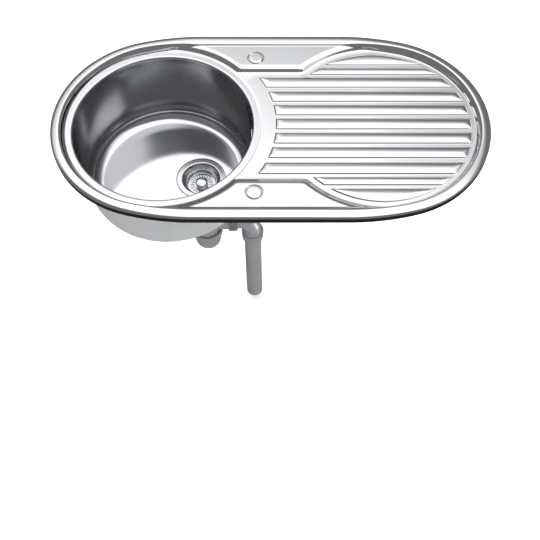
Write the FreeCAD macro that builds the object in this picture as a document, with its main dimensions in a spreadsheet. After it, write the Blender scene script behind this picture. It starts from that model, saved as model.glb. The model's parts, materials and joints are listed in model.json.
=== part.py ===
import FreeCAD, Part
import math
import os
import Sketcher
from FreeCAD import Placement, Rotation, Vector

# Inset kitchen sink with a round bowl, a ribbed drainer and its waste kit.
# X runs from the bowl to the drainer, Y to the wall behind and Z up.
# The origin is the middle of the outline, on the worktop that the rim rests on.

SIZES = {
    # Outline and rim
    "sink_width": 448,
    "field_reach": 209.5,
    "end_setback": 0.5,
    "end_shortfall": 9,
    "shoulder_radius": 480,
    "sheet": 0.8,
    "rim_height": 17,
    "rim_width": 20,
    "rim_edge_radius": 6,
    # Tap ledge and the recess for the bowl and drainer, measured down from the rim's top
    "ledge_drop": 5,
    "ledge_slope_run": 5,
    "recess_drop": 13.5,
    "rim_wall_run": 5.5,
    "ledge_reach": 91,
    "recess_wall_run": 5,
    # Drainer ribs
    "rib_margin": 13,
    "rib_bowl_margin": 25,
    "rib_height": 4,
    "rib_slope_run": 2.6,
    # Tap holes and their blanks
    "tap_hole_radius": 17.5,
    "tap_hole_shift": -30,
    "tap_hole_inset": 59,
    "blank_gap": 0.3,
    "blank_rise": 0.5,
    "blank_edge_radius": 0.6,
    # Bowl
    "bowl_flange_width": 20,
    "bowl_draft": 4,
    "bowl_depth": 180,
    "bowl_corner_radius": 30,
    "bowl_lip_radius": 4,
    "bowl_flange_overlap": 6,
    "drain_margin": 24.5,
    "drain_recess": 3,
    "drain_recess_radius": 55,
    "drain_hole_radius": 45,
    # Seal and fixing clips under the rim
    "seal_width": 8,
    "seal_height": 4,
    "fit_gap": 0.3,
    "snug_gap": 0.1,
    "clip_reach": 80,
    "clip_inset": 46,
    "clip_pivot_depth": 46,
    "bracket_plate": 1.5,
    "bracket_width": 12,
    "bracket_tail": 6,
    "lever_width": 16,
    "lever_length": 44,
    "lever_plate": 2,
    "lever_barrel_radius": 3.5,
    "lever_screw_inset": 8,
    "clip_pin_radius": 1.5,
    "clip_screw_radius": 2.5,
    "clip_screw_length": 26,
    "clip_head_radius": 5,
    "clip_head_height": 3,
    # Strainer
    "flange_radius": 51,
    "gasket_plate": 1.5,
    "strainer_wall": 1,
    "flange_crown": 0.5,
    "mouth_radius": 39,
    "mouth_edge_radius": 2,
    "basin_radius": 33,
    "basin_cone_top": 6,
    "basin_cone_base": 15,
    "basin_depth": 31,
    "basin_hole_radius": 2.8,
    "basin_hole_circle": 21,
    "basket_radius": 32,
    "basket_rim_depth": 13,
    "basket_depth": 23,
    "basket_wall": 0.8,
    "basket_edge_radius": 3,
    "slot_inner_radius": 15.5,
    "slot_outer_radius": 24.5,
    "slot_width": 2,
    "basket_seal_radius": 28,
    "basket_seal_width": 3,
    "basket_stem_radius": 6,
    "knob_radius": 13.5,
    "knob_height": 12,
    "knob_skirt": 4,
    # Waste body under the bowl, depths below the strainer's flange
    "lower_gasket_plate": 2.5,
    "waste_radius": 43,
    "waste_wall": 2.5,
    "waste_rim_radius": 50,
    "waste_rim_plate": 3,
    "waste_shoulder_depth": 42,
    "waste_shoulder_radius": 8,
    "waste_depth": 50,
    "waste_boss_radius": 6,
    "waste_web_plate": 2.5,
    "screw_radius": 2.75,
    "screw_head_radius": 5,
    "screw_head_height": 2.5,
    "screw_length": 12,
    # Tail pipe, thread necks and nuts
    "pipe_radius": 19,
    "pipe_wall": 2,
    "thread_radius": 21,
    "thread_length": 14,
    "nut_radius": 24,
    "nut_lip_radius": 25.5,
    "nut_lip_height": 3,
    "nut_base_plate": 5,
    "nut_height": 24,
    "nut_rib_depth": 0.8,
    "nut_rib_width": 1.4,
    "washer_plate": 2,
    "collar_plate": 2.5,
    "seal_plate": 4,
    # Bottle trap
    "trap_nut_depth": 128,
    "trap_nut_height": 22,
    "trap_radius": 29.5,
    "trap_wall": 2.5,
    "trap_shoulder_radius": 6,
    "trap_height": 45.5,
    "trap_thread_radius": 32,
    "trap_thread_height": 11,
    "dip_length": 88,
    "outlet_depth": 168,
    "ring_radius": 34,
    "ring_lip_radius": 36,
    "ring_lip_height": 7,
    "ring_height": 23,
    "cup_radius": 30.5,
    "cup_wall": 2.5,
    "cup_flange_plate": 3,
    "cup_seal_plate": 2,
    "cup_straight": 22,
    # Outlet: union nut, elbow and pipe
    "spout_length": 62,
    "spout_socket": 22,
    "union_nut_start": 52,
    "union_nut_height": 20,
    "elbow_reach": 105.6,
    "elbow_bend_radius": 24,
    "socket_top": 37,
    "socket_radius": 22.3,
    "socket_length": 23,
    "socket_step": 2,
    "outlet_pipe_radius": 20,
    "outlet_pipe_length": 300,
    "pipe_relief": 0.3,
    "outlet_nut_radius": 24.5,
    "outlet_nut_height": 26,
    "outlet_nut_lip_radius": 26,
    # Overflow
    "spigot_depth": 24,
    "spigot_radius": 13,
    "spigot_wall": 3,
    "spigot_reach": 62,
    "spigot_nut_start": 58.6,
    "spigot_nut_radius": 18,
    "spigot_nut_height": 14.7,
    "spigot_nut_plate": 2.5,
    "spigot_washer_plate": 1,
    "hose_radius": 11,
    "hose_bore_radius": 8,
    "hose_groove": 1.4,
    "hose_pitch": 4,
    "cuff_radius": 13,
    "cuff_length": 23,
    "tube_length": 75,
    "tube_wall": 2,
    "overflow_depth": 45,
    "head_width": 34,
    "head_height": 42,
    "head_depth": 30,
    "head_wall": 3,
    "head_gap": 4,
    "overflow_hole_width": 24,
    "overflow_hole_height": 14,
    "plate_width": 32,
    "plate_height": 20,
    "plate_thickness": 1,
    "plate_slot_height": 2.4,
    "overflow_screw_radius": 2,
    "overflow_screw_head": 4,
    "overflow_boss_radius": 4.5,
    # Cuts run past what they cut by this much
    "overrun": 5,
}

# Edges of the ribs behind the middle one, as shares of the radius of the ribbed field
RIB_EDGE_SHARES = ((0.119, 0.2615), (0.309, 0.4505), (0.509, 0.654), (0.691, 0.7945))
MIDDLE_RIB_SHARE = 0.0725
OUTER_RIB_SHARE = 0.835
RIBS_TO_BOWL = 3

BASIN_HOLES = 12
BASKET_SLOTS = 24
NUT_RIBS = 24
PLATE_SLOTS = 3

# Points that the overflow hose bends at, from the waste body's spigot to the overflow tube
HOSE_ROUTE = (
    (-148, 63, -201.8),
    (-148, 91, -201.8),
    (-136, 119, -205),
    (-113, 138, -213),
    (-84, 144, -223),
    (-56, 137, -232),
    (-33, 117, -240),
    (-18, 91, -243),
    (-12, 61, -238),
    (-12, 33, -226),
    (-14, 11, -204),
    (-15.9, 0, -177),
    (-15.9, 0, -149.8),
)
BEND_SHARE = 0.45


class Size:
    """A length or number with the sheet expression that gives it."""

    def __init__(self, value, text):
        self.value = value
        self.text = text

    def __add__(self, other):
        return Size(self.value + plain(other), f"({self.text} + {written(other)})")

    def __radd__(self, other):
        return Size(plain(other) + self.value, f"({written(other)} + {self.text})")

    def __sub__(self, other):
        return Size(self.value - plain(other), f"({self.text} - {written(other)})")

    def __rsub__(self, other):
        return Size(plain(other) - self.value, f"({written(other)} - {self.text})")

    def __mul__(self, other):
        return Size(self.value * plain(other), f"({self.text} * {written(other)})")

    __rmul__ = __mul__

    def __truediv__(self, other):
        return Size(self.value / plain(other), f"({self.text} / {written(other)})")

    def __neg__(self):
        return Size(-self.value, f"(-{self.text})")


def plain(size):
    return size.value if isinstance(size, Size) else size


def written(size):
    return size.text if isinstance(size, Size) else repr(size)


def root(size):
    return Size(math.sqrt(size.value), f"sqrt({size.text})")


def leg(hypotenuse, other_leg):
    """The third side of a right-angled triangle."""
    return root(hypotenuse * hypotenuse - other_leg * other_leg)


doc = FreeCAD.newDocument("kitchen_sink")
sheet = doc.addObject("Spreadsheet::Sheet", "sizes")
size = {}
for row, (name, value) in enumerate(SIZES.items(), start=1):
    sheet.set(f"A{row}", name)
    sheet.set(f"B{row}", str(value))
    sheet.setAlias(f"B{row}", name)
    size[name] = Size(value, f"sizes.{name}")
doc.recompute()

nodes = []
OVER = size["overrun"]
GAP = size["fit_gap"]
SNUG = size["snug_gap"]
SHEET = size["sheet"]

# Levels and places that several pieces share
RIM_TOP = size["rim_height"]
LEDGE = RIM_TOP - size["ledge_drop"]
RECESS = RIM_TOP - size["recess_drop"]
HALF_WIDTH = size["sink_width"] / 2
END_RADIUS = HALF_WIDTH - size["end_shortfall"]
END_X = size["field_reach"] + size["end_setback"]
TAP_HOLE_Y = HALF_WIDTH - size["tap_hole_inset"]
FIELD_RADIUS = END_RADIUS - size["rim_width"]
RIB_FIELD = FIELD_RADIUS - size["rib_margin"]
BOWL_RADIUS = FIELD_RADIUS - size["bowl_flange_width"]
BOWL_BASE = BOWL_RADIUS - size["bowl_draft"]
BOWL_X = -size["field_reach"]
DRAINER_X = size["field_reach"]
FLANGE_TOP = RECESS - SHEET
FLOOR = FLANGE_TOP - size["bowl_depth"]
DRAIN_OFFSET = BOWL_BASE - size["bowl_corner_radius"] - size["drain_recess_radius"] - size["drain_margin"]
DRAIN_X = BOWL_X + DRAIN_OFFSET
SEAT = FLOOR - size["drain_recess"]
STRAINER = SEAT + size["gasket_plate"] + size["strainer_wall"]
BASIN = STRAINER - size["basin_depth"]
TRAP_TOP = STRAINER - size["trap_nut_depth"] - size["trap_nut_height"]
TRAP_BASE = TRAP_TOP - size["trap_height"]
OUTLET = STRAINER - size["outlet_depth"]
ELBOW_X = DRAIN_X + size["elbow_reach"]
OVERFLOW = FLANGE_TOP - size["overflow_depth"]
SPIGOT = STRAINER - size["spigot_depth"]


def bind(item, name, value):
    """Tie a property to the sheet, or set it where it is a plain number."""
    if isinstance(value, Size):
        item.setExpression(name, value.text)
    else:
        item.setExpression(name, repr(value))


def stand(item, x=0, y=0, z=0):
    for name, value in (("x", x), ("y", y), ("z", z)):
        if plain(value):
            bind(item, f"Placement.Base.{name}", value)


def keep(item, node):
    """Mark an object as a finished piece of the sink."""
    item.Label = node
    nodes.append(item)
    return item


def pin_down(sketch, kind, geometry, point, value):
    number = sketch.addConstraint(Sketcher.Constraint(kind, geometry, point, plain(value)))
    if isinstance(value, Size):
        sketch.setExpression(f"Constraints[{number}]", value.text)


def arc_through(start, end, radius):
    """An arc of less than half a turn; a negative radius turns clockwise."""
    chord = end - start
    height = math.sqrt(max(radius * radius - chord.Length ** 2 / 4, 0))
    side = Vector(-chord.y, chord.x, 0).normalize()
    centre = (start + end) / 2 + side * math.copysign(height, radius)
    first, last = (start, end) if radius > 0 else (end, start)
    angles = [math.atan2(p.y - centre.y, p.x - centre.x) for p in (first, last)]
    return Part.ArcOfCircle(Part.Circle(centre, Vector(0, 0, 1), abs(radius)), *angles)


def draw_loop(sketch, corners):
    """A closed outline. A corner (x, y, radius) ends an arc, and (x, y) ends a line."""
    first = sketch.GeometryCount
    spots = [Vector(plain(c[0]), plain(c[1]), 0) for c in corners]
    ends = []
    for i, corner in enumerate(corners):
        start, end = spots[i - 1], spots[i]
        radius = corner[2] if len(corner) > 2 else None
        if radius is None:
            sketch.addGeometry(Part.LineSegment(start, end), False)
            ends.append((1, 2))
        else:
            sketch.addGeometry(arc_through(start, end, plain(radius)), False)
            ends.append((1, 2) if plain(radius) > 0 else (2, 1))
    for i, corner in enumerate(corners):
        after = (i + 1) % len(corners)
        this, other = first + i, first + after
        sketch.addConstraint(Sketcher.Constraint("Coincident", this, ends[i][1], other, ends[after][0]))
        pin_down(sketch, "DistanceX", this, ends[i][1], corner[0])
        pin_down(sketch, "DistanceY", this, ends[i][1], corner[1])
        if len(corner) > 2:
            positive = corner[2] if plain(corner[2]) > 0 else -corner[2]
            number = sketch.addConstraint(Sketcher.Constraint("Radius", this, plain(positive)))
            sketch.setExpression(f"Constraints[{number}]", positive.text)


def draw_circle(sketch, radius, x=0, y=0):
    circle = Part.Circle(Vector(plain(x), plain(y), 0), Vector(0, 0, 1), radius.value)
    number = sketch.addGeometry(circle, False)
    pin_down(sketch, "DistanceX", number, 3, x)
    pin_down(sketch, "DistanceY", number, 3, y)
    constraint = sketch.addConstraint(Sketcher.Constraint("Radius", number, radius.value))
    sketch.setExpression(f"Constraints[{constraint}]", radius.text)


def box_corners(width, height, x=0, y=0):
    """Corners of an upright rectangle about a middle."""
    left, right = x - width / 2, x + width / 2
    low, high = y - height / 2, y + height / 2
    return [(left, low), (right, low), (right, high), (left, high)]


def new_body(node, x=0, y=0, z=0, turn=None):
    body = keep(doc.addObject("PartDesign::Body", node), node)
    if turn:
        body.Placement = Placement(Vector(), Rotation(*turn))
    stand(body, x, y, z)
    return body


def body_sketch(body, role, level=0, across=0):
    """A sketch on a plane of its body, moved along the plane's normal by level."""
    sketch = body.newObject("Sketcher::SketchObject", f"{body.Name}_sketch")
    plane = [f for f in body.Origin.OriginFeatures if f.Role == role][0]
    sketch.AttachmentSupport = (plane, [""])
    sketch.MapMode = "FlatFace"
    if plain(level):
        bind(sketch, "AttachmentOffset.Base.z", level)
    if plain(across):
        bind(sketch, "AttachmentOffset.Base.y", across)
    return sketch


def turned(node, corners, x=0, y=0, z=0, turn=None):
    """A body turned about its own Z from corners given as radius and height."""
    body = new_body(node, x, y, z, turn)
    sketch = body_sketch(body, "XZ_Plane")
    draw_loop(sketch, corners)
    feature = body.newObject("PartDesign::Revolution", f"{node}_turned")
    feature.Profile = sketch
    feature.ReferenceAxis = (sketch, ["V_Axis"])
    feature.Angle = 360
    return body


def pad(body, sketch, length, both_ways=False, backwards=False):
    feature = body.newObject("PartDesign::Pad", f"{body.Name}_pad")
    feature.Profile = sketch
    bind(feature, "Length", length)
    feature.Midplane = both_ways
    feature.Reversed = backwards
    return feature


def pocket(body, sketch, length, both_ways=False, backwards=False):
    feature = body.newObject("PartDesign::Pocket", f"{body.Name}_pocket")
    feature.Profile = sketch
    bind(feature, "Length", length)
    feature.Midplane = both_ways
    feature.Reversed = backwards
    return feature


def repeat_round(body, feature, count):
    """Repeat a feature about the body's Z axis."""
    pattern = body.newObject("PartDesign::PolarPattern", f"{body.Name}_pattern")
    pattern.Originals = [feature]
    axis = [f for f in body.Origin.OriginFeatures if f.Role == "Z_Axis"][0]
    pattern.Axis = (axis, [""])
    pattern.Angle = 360
    pattern.Occurrences = count
    body.Tip = pattern
    return pattern


def ring_corners(inner, outer, base, top):
    return [(inner, base), (outer, base), (outer, top), (inner, top)]


def free_sketch(name, level):
    sketch = doc.addObject("Sketcher::SketchObject", name)
    stand(sketch, z=level)
    return sketch


def raised(name, sketch, height, slope=None):
    """Extrude a free sketch upwards; slope is (run, rise) of its walls, outwards when positive."""
    solid = doc.addObject("Part::Extrusion", name)
    solid.Base = sketch
    solid.DirMode = "Custom"
    solid.Dir = Vector(0, 0, 1)
    bind(solid, "LengthFwd", height)
    solid.Solid = True
    if slope:
        run, rise = slope
        taper = math.degrees(math.atan2(run.value, rise.value))
        bind(solid, "TaperAngle", Size(taper, f"atan({run.text} / {rise.text})"))
    return solid


def combined(kind, name, pieces):
    item = doc.addObject(kind, name)
    if kind == "Part::Cut":
        item.Base, item.Tool = pieces
    else:
        item.Shapes = pieces
    return item


# Deck: pressed from one sheet, as an upper form with an under form of the sheet's thickness cut away


def rim_corners(inset):
    """The sink's outline moved in: two end arcs, four shoulder arcs and two straights."""
    end = END_RADIUS - inset
    shoulder = size["shoulder_radius"] - inset
    side = HALF_WIDTH - inset
    drop = size["shoulder_radius"] - HALF_WIDTH
    gap = size["shoulder_radius"] - END_RADIUS
    lead = leg(gap, drop)
    straight = END_X - lead
    tip_x = END_X + end * lead / gap
    tip_y = end * drop / gap
    tip = END_X + end
    right = [(tip_x, -tip_y, shoulder), (tip, 0, end), (tip_x, tip_y, end), (straight, side, shoulder)]
    left = [(-straight, side), (-tip_x, tip_y, shoulder), (-tip, 0, end), (-tip_x, -tip_y, end)]
    return right + left + [(-straight, -side, shoulder), (straight, -side)]


def recess_corners(grow):
    """Two round fields joined by a band between the tap ledges."""
    radius = FIELD_RADIUS + grow
    band = HALF_WIDTH - size["ledge_reach"] + grow
    throat = DRAINER_X - leg(radius, band)
    tip = DRAINER_X + radius
    right = [(throat, -band), (tip, 0, radius), (throat, band, radius)]
    return right + [(-throat, band), (-tip, 0, radius), (-throat, -band, radius)]


def sheet_shift(run, rise):
    """How far a sloping wall moves sideways when the sheet's thickness is taken off."""
    return SHEET * (root(run * run + rise * rise) - run) / rise


def rib_corners(low, high, inset, to_bowl):
    """A rib's outline behind the middle line, between two heights of Y."""
    low, high = low + inset, high - inset
    field = RIB_FIELD - inset
    bowl = FIELD_RADIUS + size["rib_bowl_margin"] + inset
    right = [DRAINER_X + leg(field, y) for y in (low, high)]
    if to_bowl:
        left = [BOWL_X + leg(bowl, y) for y in (low, high)]
        return [(right[0], low), (right[1], high, field), (left[1], high), (left[0], low, -bowl)]
    left = [DRAINER_X - leg(field, y) for y in (low, high)]
    return [(right[0], low), (right[1], high, field), (left[1], high), (left[0], low, field)]


def outer_rib_corners(inset):
    """The outermost rib is a segment of the round field."""
    field = RIB_FIELD - inset
    low = RIB_FIELD * OUTER_RIB_SHARE + inset
    half = leg(field, low)
    return [(DRAINER_X + half, low), (DRAINER_X, field, field), (DRAINER_X - half, low, field)]


def rib_solids(prefix, shift, level):
    middle = RIB_FIELD * MIDDLE_RIB_SHARE
    outlines = [rib_corners(-middle, middle, shift, True)]
    for number, (low, high) in enumerate(RIB_EDGE_SHARES):
        outlines.append(rib_corners(RIB_FIELD * low, RIB_FIELD * high, shift, number < RIBS_TO_BOWL))
    outlines.append(outer_rib_corners(shift))
    solids = []
    for number, corners in enumerate(outlines):
        sketch = free_sketch(f"{prefix}_rib_outline_{number}", level)
        draw_loop(sketch, corners)
        slope = (-size["rib_slope_run"], size["rib_height"])
        rib = raised(f"{prefix}_rib_{number}", sketch, size["rib_height"], slope)
        solids.append(rib)
        if number:
            front = doc.addObject("Part::Mirroring", f"{prefix}_front_rib_{number}")
            front.Source = rib
            front.Normal = Vector(0, 1, 0)
            solids.append(front)
    return solids


def deck_pocket(name, corners, level, slope):
    """A pocket with sloping walls from a floor to above the rim."""
    sketch = free_sketch(f"{name}_outline", level)
    draw_loop(sketch, corners)
    return raised(name, sketch, RIM_TOP - level + OVER, slope)


def deck_form(prefix, drop, base):
    """The deck's solid form from base up, thinner all over by drop."""

    def shift(run, rise):
        return sheet_shift(run, rise) if plain(drop) else 0

    outline = free_sketch(f"{prefix}_outline", base)
    draw_loop(outline, rim_corners(drop))
    block = raised(f"{prefix}_block", outline, RIM_TOP - drop - base)
    doc.recompute()
    rounded = doc.addObject("Part::Fillet", f"{prefix}_rounded")
    rounded.Base = block
    top = (RIM_TOP - drop).value
    radius = (size["rim_edge_radius"] - drop).value
    edges = [n for n, e in enumerate(block.Shape.Edges, start=1) if e.BoundBox.ZMin > top - radius]
    rounded.Edges = [(n, radius, radius) for n in edges]

    ledge_slope = (size["ledge_slope_run"], size["ledge_drop"])
    rim_slope = (size["rim_wall_run"], size["recess_drop"])
    recess_slope = (size["recess_wall_run"], size["recess_drop"] - size["ledge_drop"])
    ledge_inset = size["rim_width"] + size["ledge_slope_run"] - shift(*ledge_slope)
    recess_inset = size["rim_width"] + size["rim_wall_run"] - shift(*rim_slope)
    ledge = deck_pocket(f"{prefix}_ledge", rim_corners(ledge_inset), LEDGE - drop, ledge_slope)
    inner = deck_pocket(f"{prefix}_inner", rim_corners(recess_inset), RECESS - drop, rim_slope)
    fields_outline = recess_corners(shift(*recess_slope))
    fields = deck_pocket(f"{prefix}_fields", fields_outline, RECESS - drop, recess_slope)
    recess = combined("Part::MultiCommon", f"{prefix}_recess", [inner, fields])
    hollow = combined("Part::MultiFuse", f"{prefix}_hollow", [ledge, recess])
    dished = combined("Part::Cut", f"{prefix}_dished", [rounded, hollow])
    rib_shift = shift(size["rib_slope_run"], size["rib_height"])
    ribs = rib_solids(prefix, rib_shift, RECESS - drop)
    return combined("Part::MultiFuse", f"{prefix}_form", [dished] + ribs)


def through_hole(name, radius, x, y):
    hole = doc.addObject("Part::Cylinder", name)
    bind(hole, "Radius", radius)
    bind(hole, "Height", RIM_TOP + 2 * OVER)
    stand(hole, x, y, -OVER)
    return hole


def make_deck():
    upper = deck_form("upper", 0, 0)
    under = deck_form("under", SHEET, -OVER)
    pressed = combined("Part::Cut", "pressed_sheet", [upper, under])
    holes = [
        through_hole("bowl_opening", FIELD_RADIUS - size["bowl_flange_overlap"], BOWL_X, 0),
        through_hole("rear_tap_hole", size["tap_hole_radius"], size["tap_hole_shift"], TAP_HOLE_Y),
        through_hole("front_tap_hole", size["tap_hole_radius"], size["tap_hole_shift"], -TAP_HOLE_Y),
    ]
    openings = combined("Part::MultiFuse", "deck_openings", holes)
    keep(combined("Part::Cut", "sink_deck", [pressed, openings]), "sink_deck")


def make_tap_blanks():
    """Half-sheared discs that are knocked out where a tap goes."""
    outer = size["tap_hole_radius"] - size["blank_gap"]
    edge = size["blank_edge_radius"]
    base = LEDGE + size["blank_rise"] - SHEET
    top = LEDGE + size["blank_rise"]
    corners = [(0, base), (outer, base), (outer, top - edge), (outer - edge, top, edge), (0, top)]
    for node, side in (("tap_hole_blank_rear", 1), ("tap_hole_blank_front", -1)):
        turned(node, corners, size["tap_hole_shift"], side * TAP_HOLE_Y)


def make_bowl():
    """The deep-drawn bowl; its flange is welded under the deck."""
    lip = size["bowl_lip_radius"]
    corner = size["bowl_corner_radius"]
    wall = BOWL_RADIUS
    base = BOWL_BASE
    flange = FIELD_RADIUS
    low = FLOOR - SHEET
    corners = [
        (0, low),
        (base - corner, low),
        (base + SHEET, FLOOR + corner, corner + SHEET),
        (wall + SHEET, FLANGE_TOP - lip),
        (wall + lip, FLANGE_TOP - SHEET, -(lip - SHEET)),
        (flange, FLANGE_TOP - SHEET),
        (flange, FLANGE_TOP),
        (wall + lip, FLANGE_TOP),
        (wall, FLANGE_TOP - lip, lip),
        (base, FLOOR + corner),
        (base - corner, FLOOR, -corner),
        (0, FLOOR),
    ]
    bowl = turned("sink_bowl", corners, BOWL_X)
    dish = body_sketch(bowl, "XY_Plane", SEAT - SHEET)
    draw_circle(dish, size["drain_recess_radius"] + SHEET, DRAIN_OFFSET)
    pad(bowl, dish, size["drain_recess"] + SHEET / 2)
    dip = body_sketch(bowl, "XY_Plane", FLOOR)
    draw_circle(dip, size["drain_recess_radius"], DRAIN_OFFSET)
    pocket(bowl, dip, size["drain_recess"])
    hole = body_sketch(bowl, "XY_Plane", FLOOR)
    draw_circle(hole, size["drain_hole_radius"], DRAIN_OFFSET)
    pocket(bowl, hole, size["drain_recess"] + OVER)
    opening = body_sketch(bowl, "YZ_Plane", wall + OVER)
    draw_loop(opening, box_corners(size["overflow_hole_width"], size["overflow_hole_height"], 0, OVERFLOW))
    pocket(bowl, opening, 3 * OVER)


def make_rim_seal():
    """Foam strip stuck inside the rim's skirt, flush with the worktop."""
    seal = new_body("rim_seal")
    sketch = body_sketch(seal, "XY_Plane")
    draw_loop(sketch, rim_corners(SHEET + GAP))
    draw_loop(sketch, rim_corners(SHEET + GAP + size["seal_width"]))
    pad(seal, sketch, size["seal_height"])


# Fixing clips: four brackets welded under the tap ledges, each with a lever and its screw

CLIP_Y = HALF_WIDTH - size["clip_inset"]
CLIP_SIDES = {"rear_left": (-1, 1), "rear_right": (1, 1), "front_left": (-1, -1), "front_right": (1, -1)}


def block(name, length, width, height, x, y, z):
    """A box given by its middle in X and Y and its base in Z."""
    item = doc.addObject("Part::Box", name)
    bind(item, "Length", length)
    bind(item, "Width", width)
    bind(item, "Height", height)
    stand(item, x - length / 2, y - width / 2, z)
    return item


def make_clip_brackets():
    plate = size["bracket_plate"]
    span = size["lever_width"] + 2 * GAP + 2 * plate
    top = LEDGE - SHEET
    base = -size["clip_pivot_depth"] - size["bracket_tail"]
    brackets = []
    for place, (side_x, side_y) in CLIP_SIDES.items():
        x, y = side_x * size["clip_reach"], side_y * CLIP_Y
        foot = block(f"foot_{place}", span, size["bracket_width"], plate, x, y, top - plate)
        ears = []
        for ear in (-1, 1):
            ear_x = x + ear * (span - plate) / 2
            name = f"ear_{place}_{ear + 1}"
            ears.append(block(name, plate, size["bracket_width"], top - base, ear_x, y, base))
        hinge_pin = doc.addObject("Part::Cylinder", f"pin_{place}")
        bind(hinge_pin, "Radius", size["clip_pin_radius"])
        bind(hinge_pin, "Height", span)
        hinge_pin.Placement = Placement(Vector(), Rotation(Vector(0, 1, 0), 90))
        stand(hinge_pin, x - span / 2, y, -size["clip_pivot_depth"])
        brackets.append(combined("Part::MultiFuse", f"bracket_{place}", [foot, *ears, hinge_pin]))
    group = doc.addObject("Part::Compound", "clip_brackets")
    group.Links = brackets
    keep(group, "clip_brackets")


def make_clip_levers():
    """Each lever lies folded in under the sink and swings down and out below the worktop."""
    barrel = size["lever_barrel_radius"]
    plate = size["lever_plate"]
    length = size["lever_length"]
    screw_y = length - size["lever_screw_inset"]
    for place, (side_x, side_y) in CLIP_SIDES.items():
        turn = (Vector(0, 0, 1), 0 if side_y > 0 else 180)
        at = (side_x * size["clip_reach"], side_y * CLIP_Y, -size["clip_pivot_depth"])
        lever = new_body(f"clip_lever_{place}", *at, turn)
        arm = body_sketch(lever, "YZ_Plane")
        draw_loop(arm, box_corners(length, plate, -length / 2, 0))
        pad(lever, arm, size["lever_width"], both_ways=True)
        eye = body_sketch(lever, "YZ_Plane")
        draw_circle(eye, barrel)
        pad(lever, eye, size["lever_width"], both_ways=True)
        bore = body_sketch(lever, "YZ_Plane")
        draw_circle(bore, size["clip_pin_radius"] + GAP)
        pocket(lever, bore, size["lever_width"] + OVER, both_ways=True)
        tapped = body_sketch(lever, "XY_Plane")
        draw_circle(tapped, size["clip_screw_radius"] + GAP, 0, -screw_y)
        pocket(lever, tapped, barrel * 2, both_ways=True)
        shank = size["clip_screw_radius"]
        head = size["clip_head_radius"]
        seat = plate / 2 + GAP
        tip = seat - size["clip_screw_length"]
        top = seat + size["clip_head_height"]
        corners = [(0, tip), (shank, tip), (shank, seat), (head, seat), (head, top), (0, top)]
        turned(f"clip_screw_{place}", corners, at[0], side_y * (CLIP_Y - screw_y), at[2])


# Strainer: flange and basin from above the bowl's floor, clamped to the waste body below it


def make_strainer():
    wall = size["strainer_wall"]
    mouth = size["mouth_radius"]
    basin = size["basin_radius"]
    flange = size["flange_radius"]
    crown = size["flange_crown"]
    edge = size["mouth_edge_radius"]
    underside = STRAINER - wall
    cone_top = STRAINER - size["basin_cone_top"]
    cone_base = STRAINER - size["basin_cone_base"]
    corners = [
        (size["screw_radius"] + GAP, BASIN),
        (basin + wall, BASIN),
        (basin + wall, cone_base),
        (mouth + wall, cone_top),
        (mouth + wall, underside),
        (flange, underside),
        (flange - crown, STRAINER),
        (mouth + wall + edge, STRAINER + crown),
        (mouth, STRAINER + crown - wall - edge, wall + edge),
        (mouth, cone_top),
        (basin, cone_base),
        (basin, BASIN + wall),
        (size["screw_radius"] + GAP, BASIN + wall),
    ]
    strainer = turned("strainer_body", corners, DRAIN_X)
    hole = body_sketch(strainer, "XY_Plane", BASIN + wall)
    draw_circle(hole, size["basin_hole_radius"], size["basin_hole_circle"])
    repeat_round(strainer, pocket(strainer, hole, wall + OVER), BASIN_HOLES)
    gasket = ring_corners(size["drain_hole_radius"], flange - wall, SEAT, underside)
    turned("strainer_gasket", gasket, DRAIN_X)


def make_basket():
    """Slotted basket that lifts out, on a rubber seal, with a domed knob."""
    outer = size["basket_radius"]
    wall = size["basket_wall"]
    edge = size["basket_edge_radius"]
    rim = STRAINER - size["basket_rim_depth"]
    floor = STRAINER - size["basket_depth"]
    corners = [
        (0, floor - wall),
        (outer - edge, floor - wall),
        (outer, floor - wall + edge, edge),
        (outer, rim),
        (outer - wall, rim),
        (outer - wall, floor - wall + edge),
        (outer - edge, floor, -(edge - wall)),
        (0, floor),
    ]
    basket = turned("strainer_basket", corners, DRAIN_X)
    slot = body_sketch(basket, "XY_Plane", floor)
    reach = size["slot_outer_radius"] - size["slot_inner_radius"]
    middle = (size["slot_outer_radius"] + size["slot_inner_radius"]) / 2
    draw_loop(slot, box_corners(reach, size["slot_width"], middle, 0))
    repeat_round(basket, pocket(basket, slot, wall + OVER), BASKET_SLOTS)
    stem = body_sketch(basket, "XY_Plane", floor - wall)
    draw_circle(stem, size["basket_stem_radius"])
    screw_top = BASIN + size["strainer_wall"] + size["screw_head_height"]
    basket.Tip = pad(basket, stem, floor - wall - screw_top - GAP, backwards=True)
    seal = size["basket_seal_radius"]
    seal_floor = BASIN + size["strainer_wall"]
    seal_ring = ring_corners(seal - size["basket_seal_width"], seal, seal_floor, floor - wall)
    turned("basket_seal", seal_ring, DRAIN_X)
    knob = size["knob_radius"]
    height = size["knob_height"]
    skirt = size["knob_skirt"]
    rise = height - skirt
    dome = (knob * knob + rise * rise) / (2 * rise)
    corners = [(0, floor), (knob, floor), (knob, floor + skirt), (0, floor + height, dome)]
    turned("basket_knob", corners, DRAIN_X)


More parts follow.
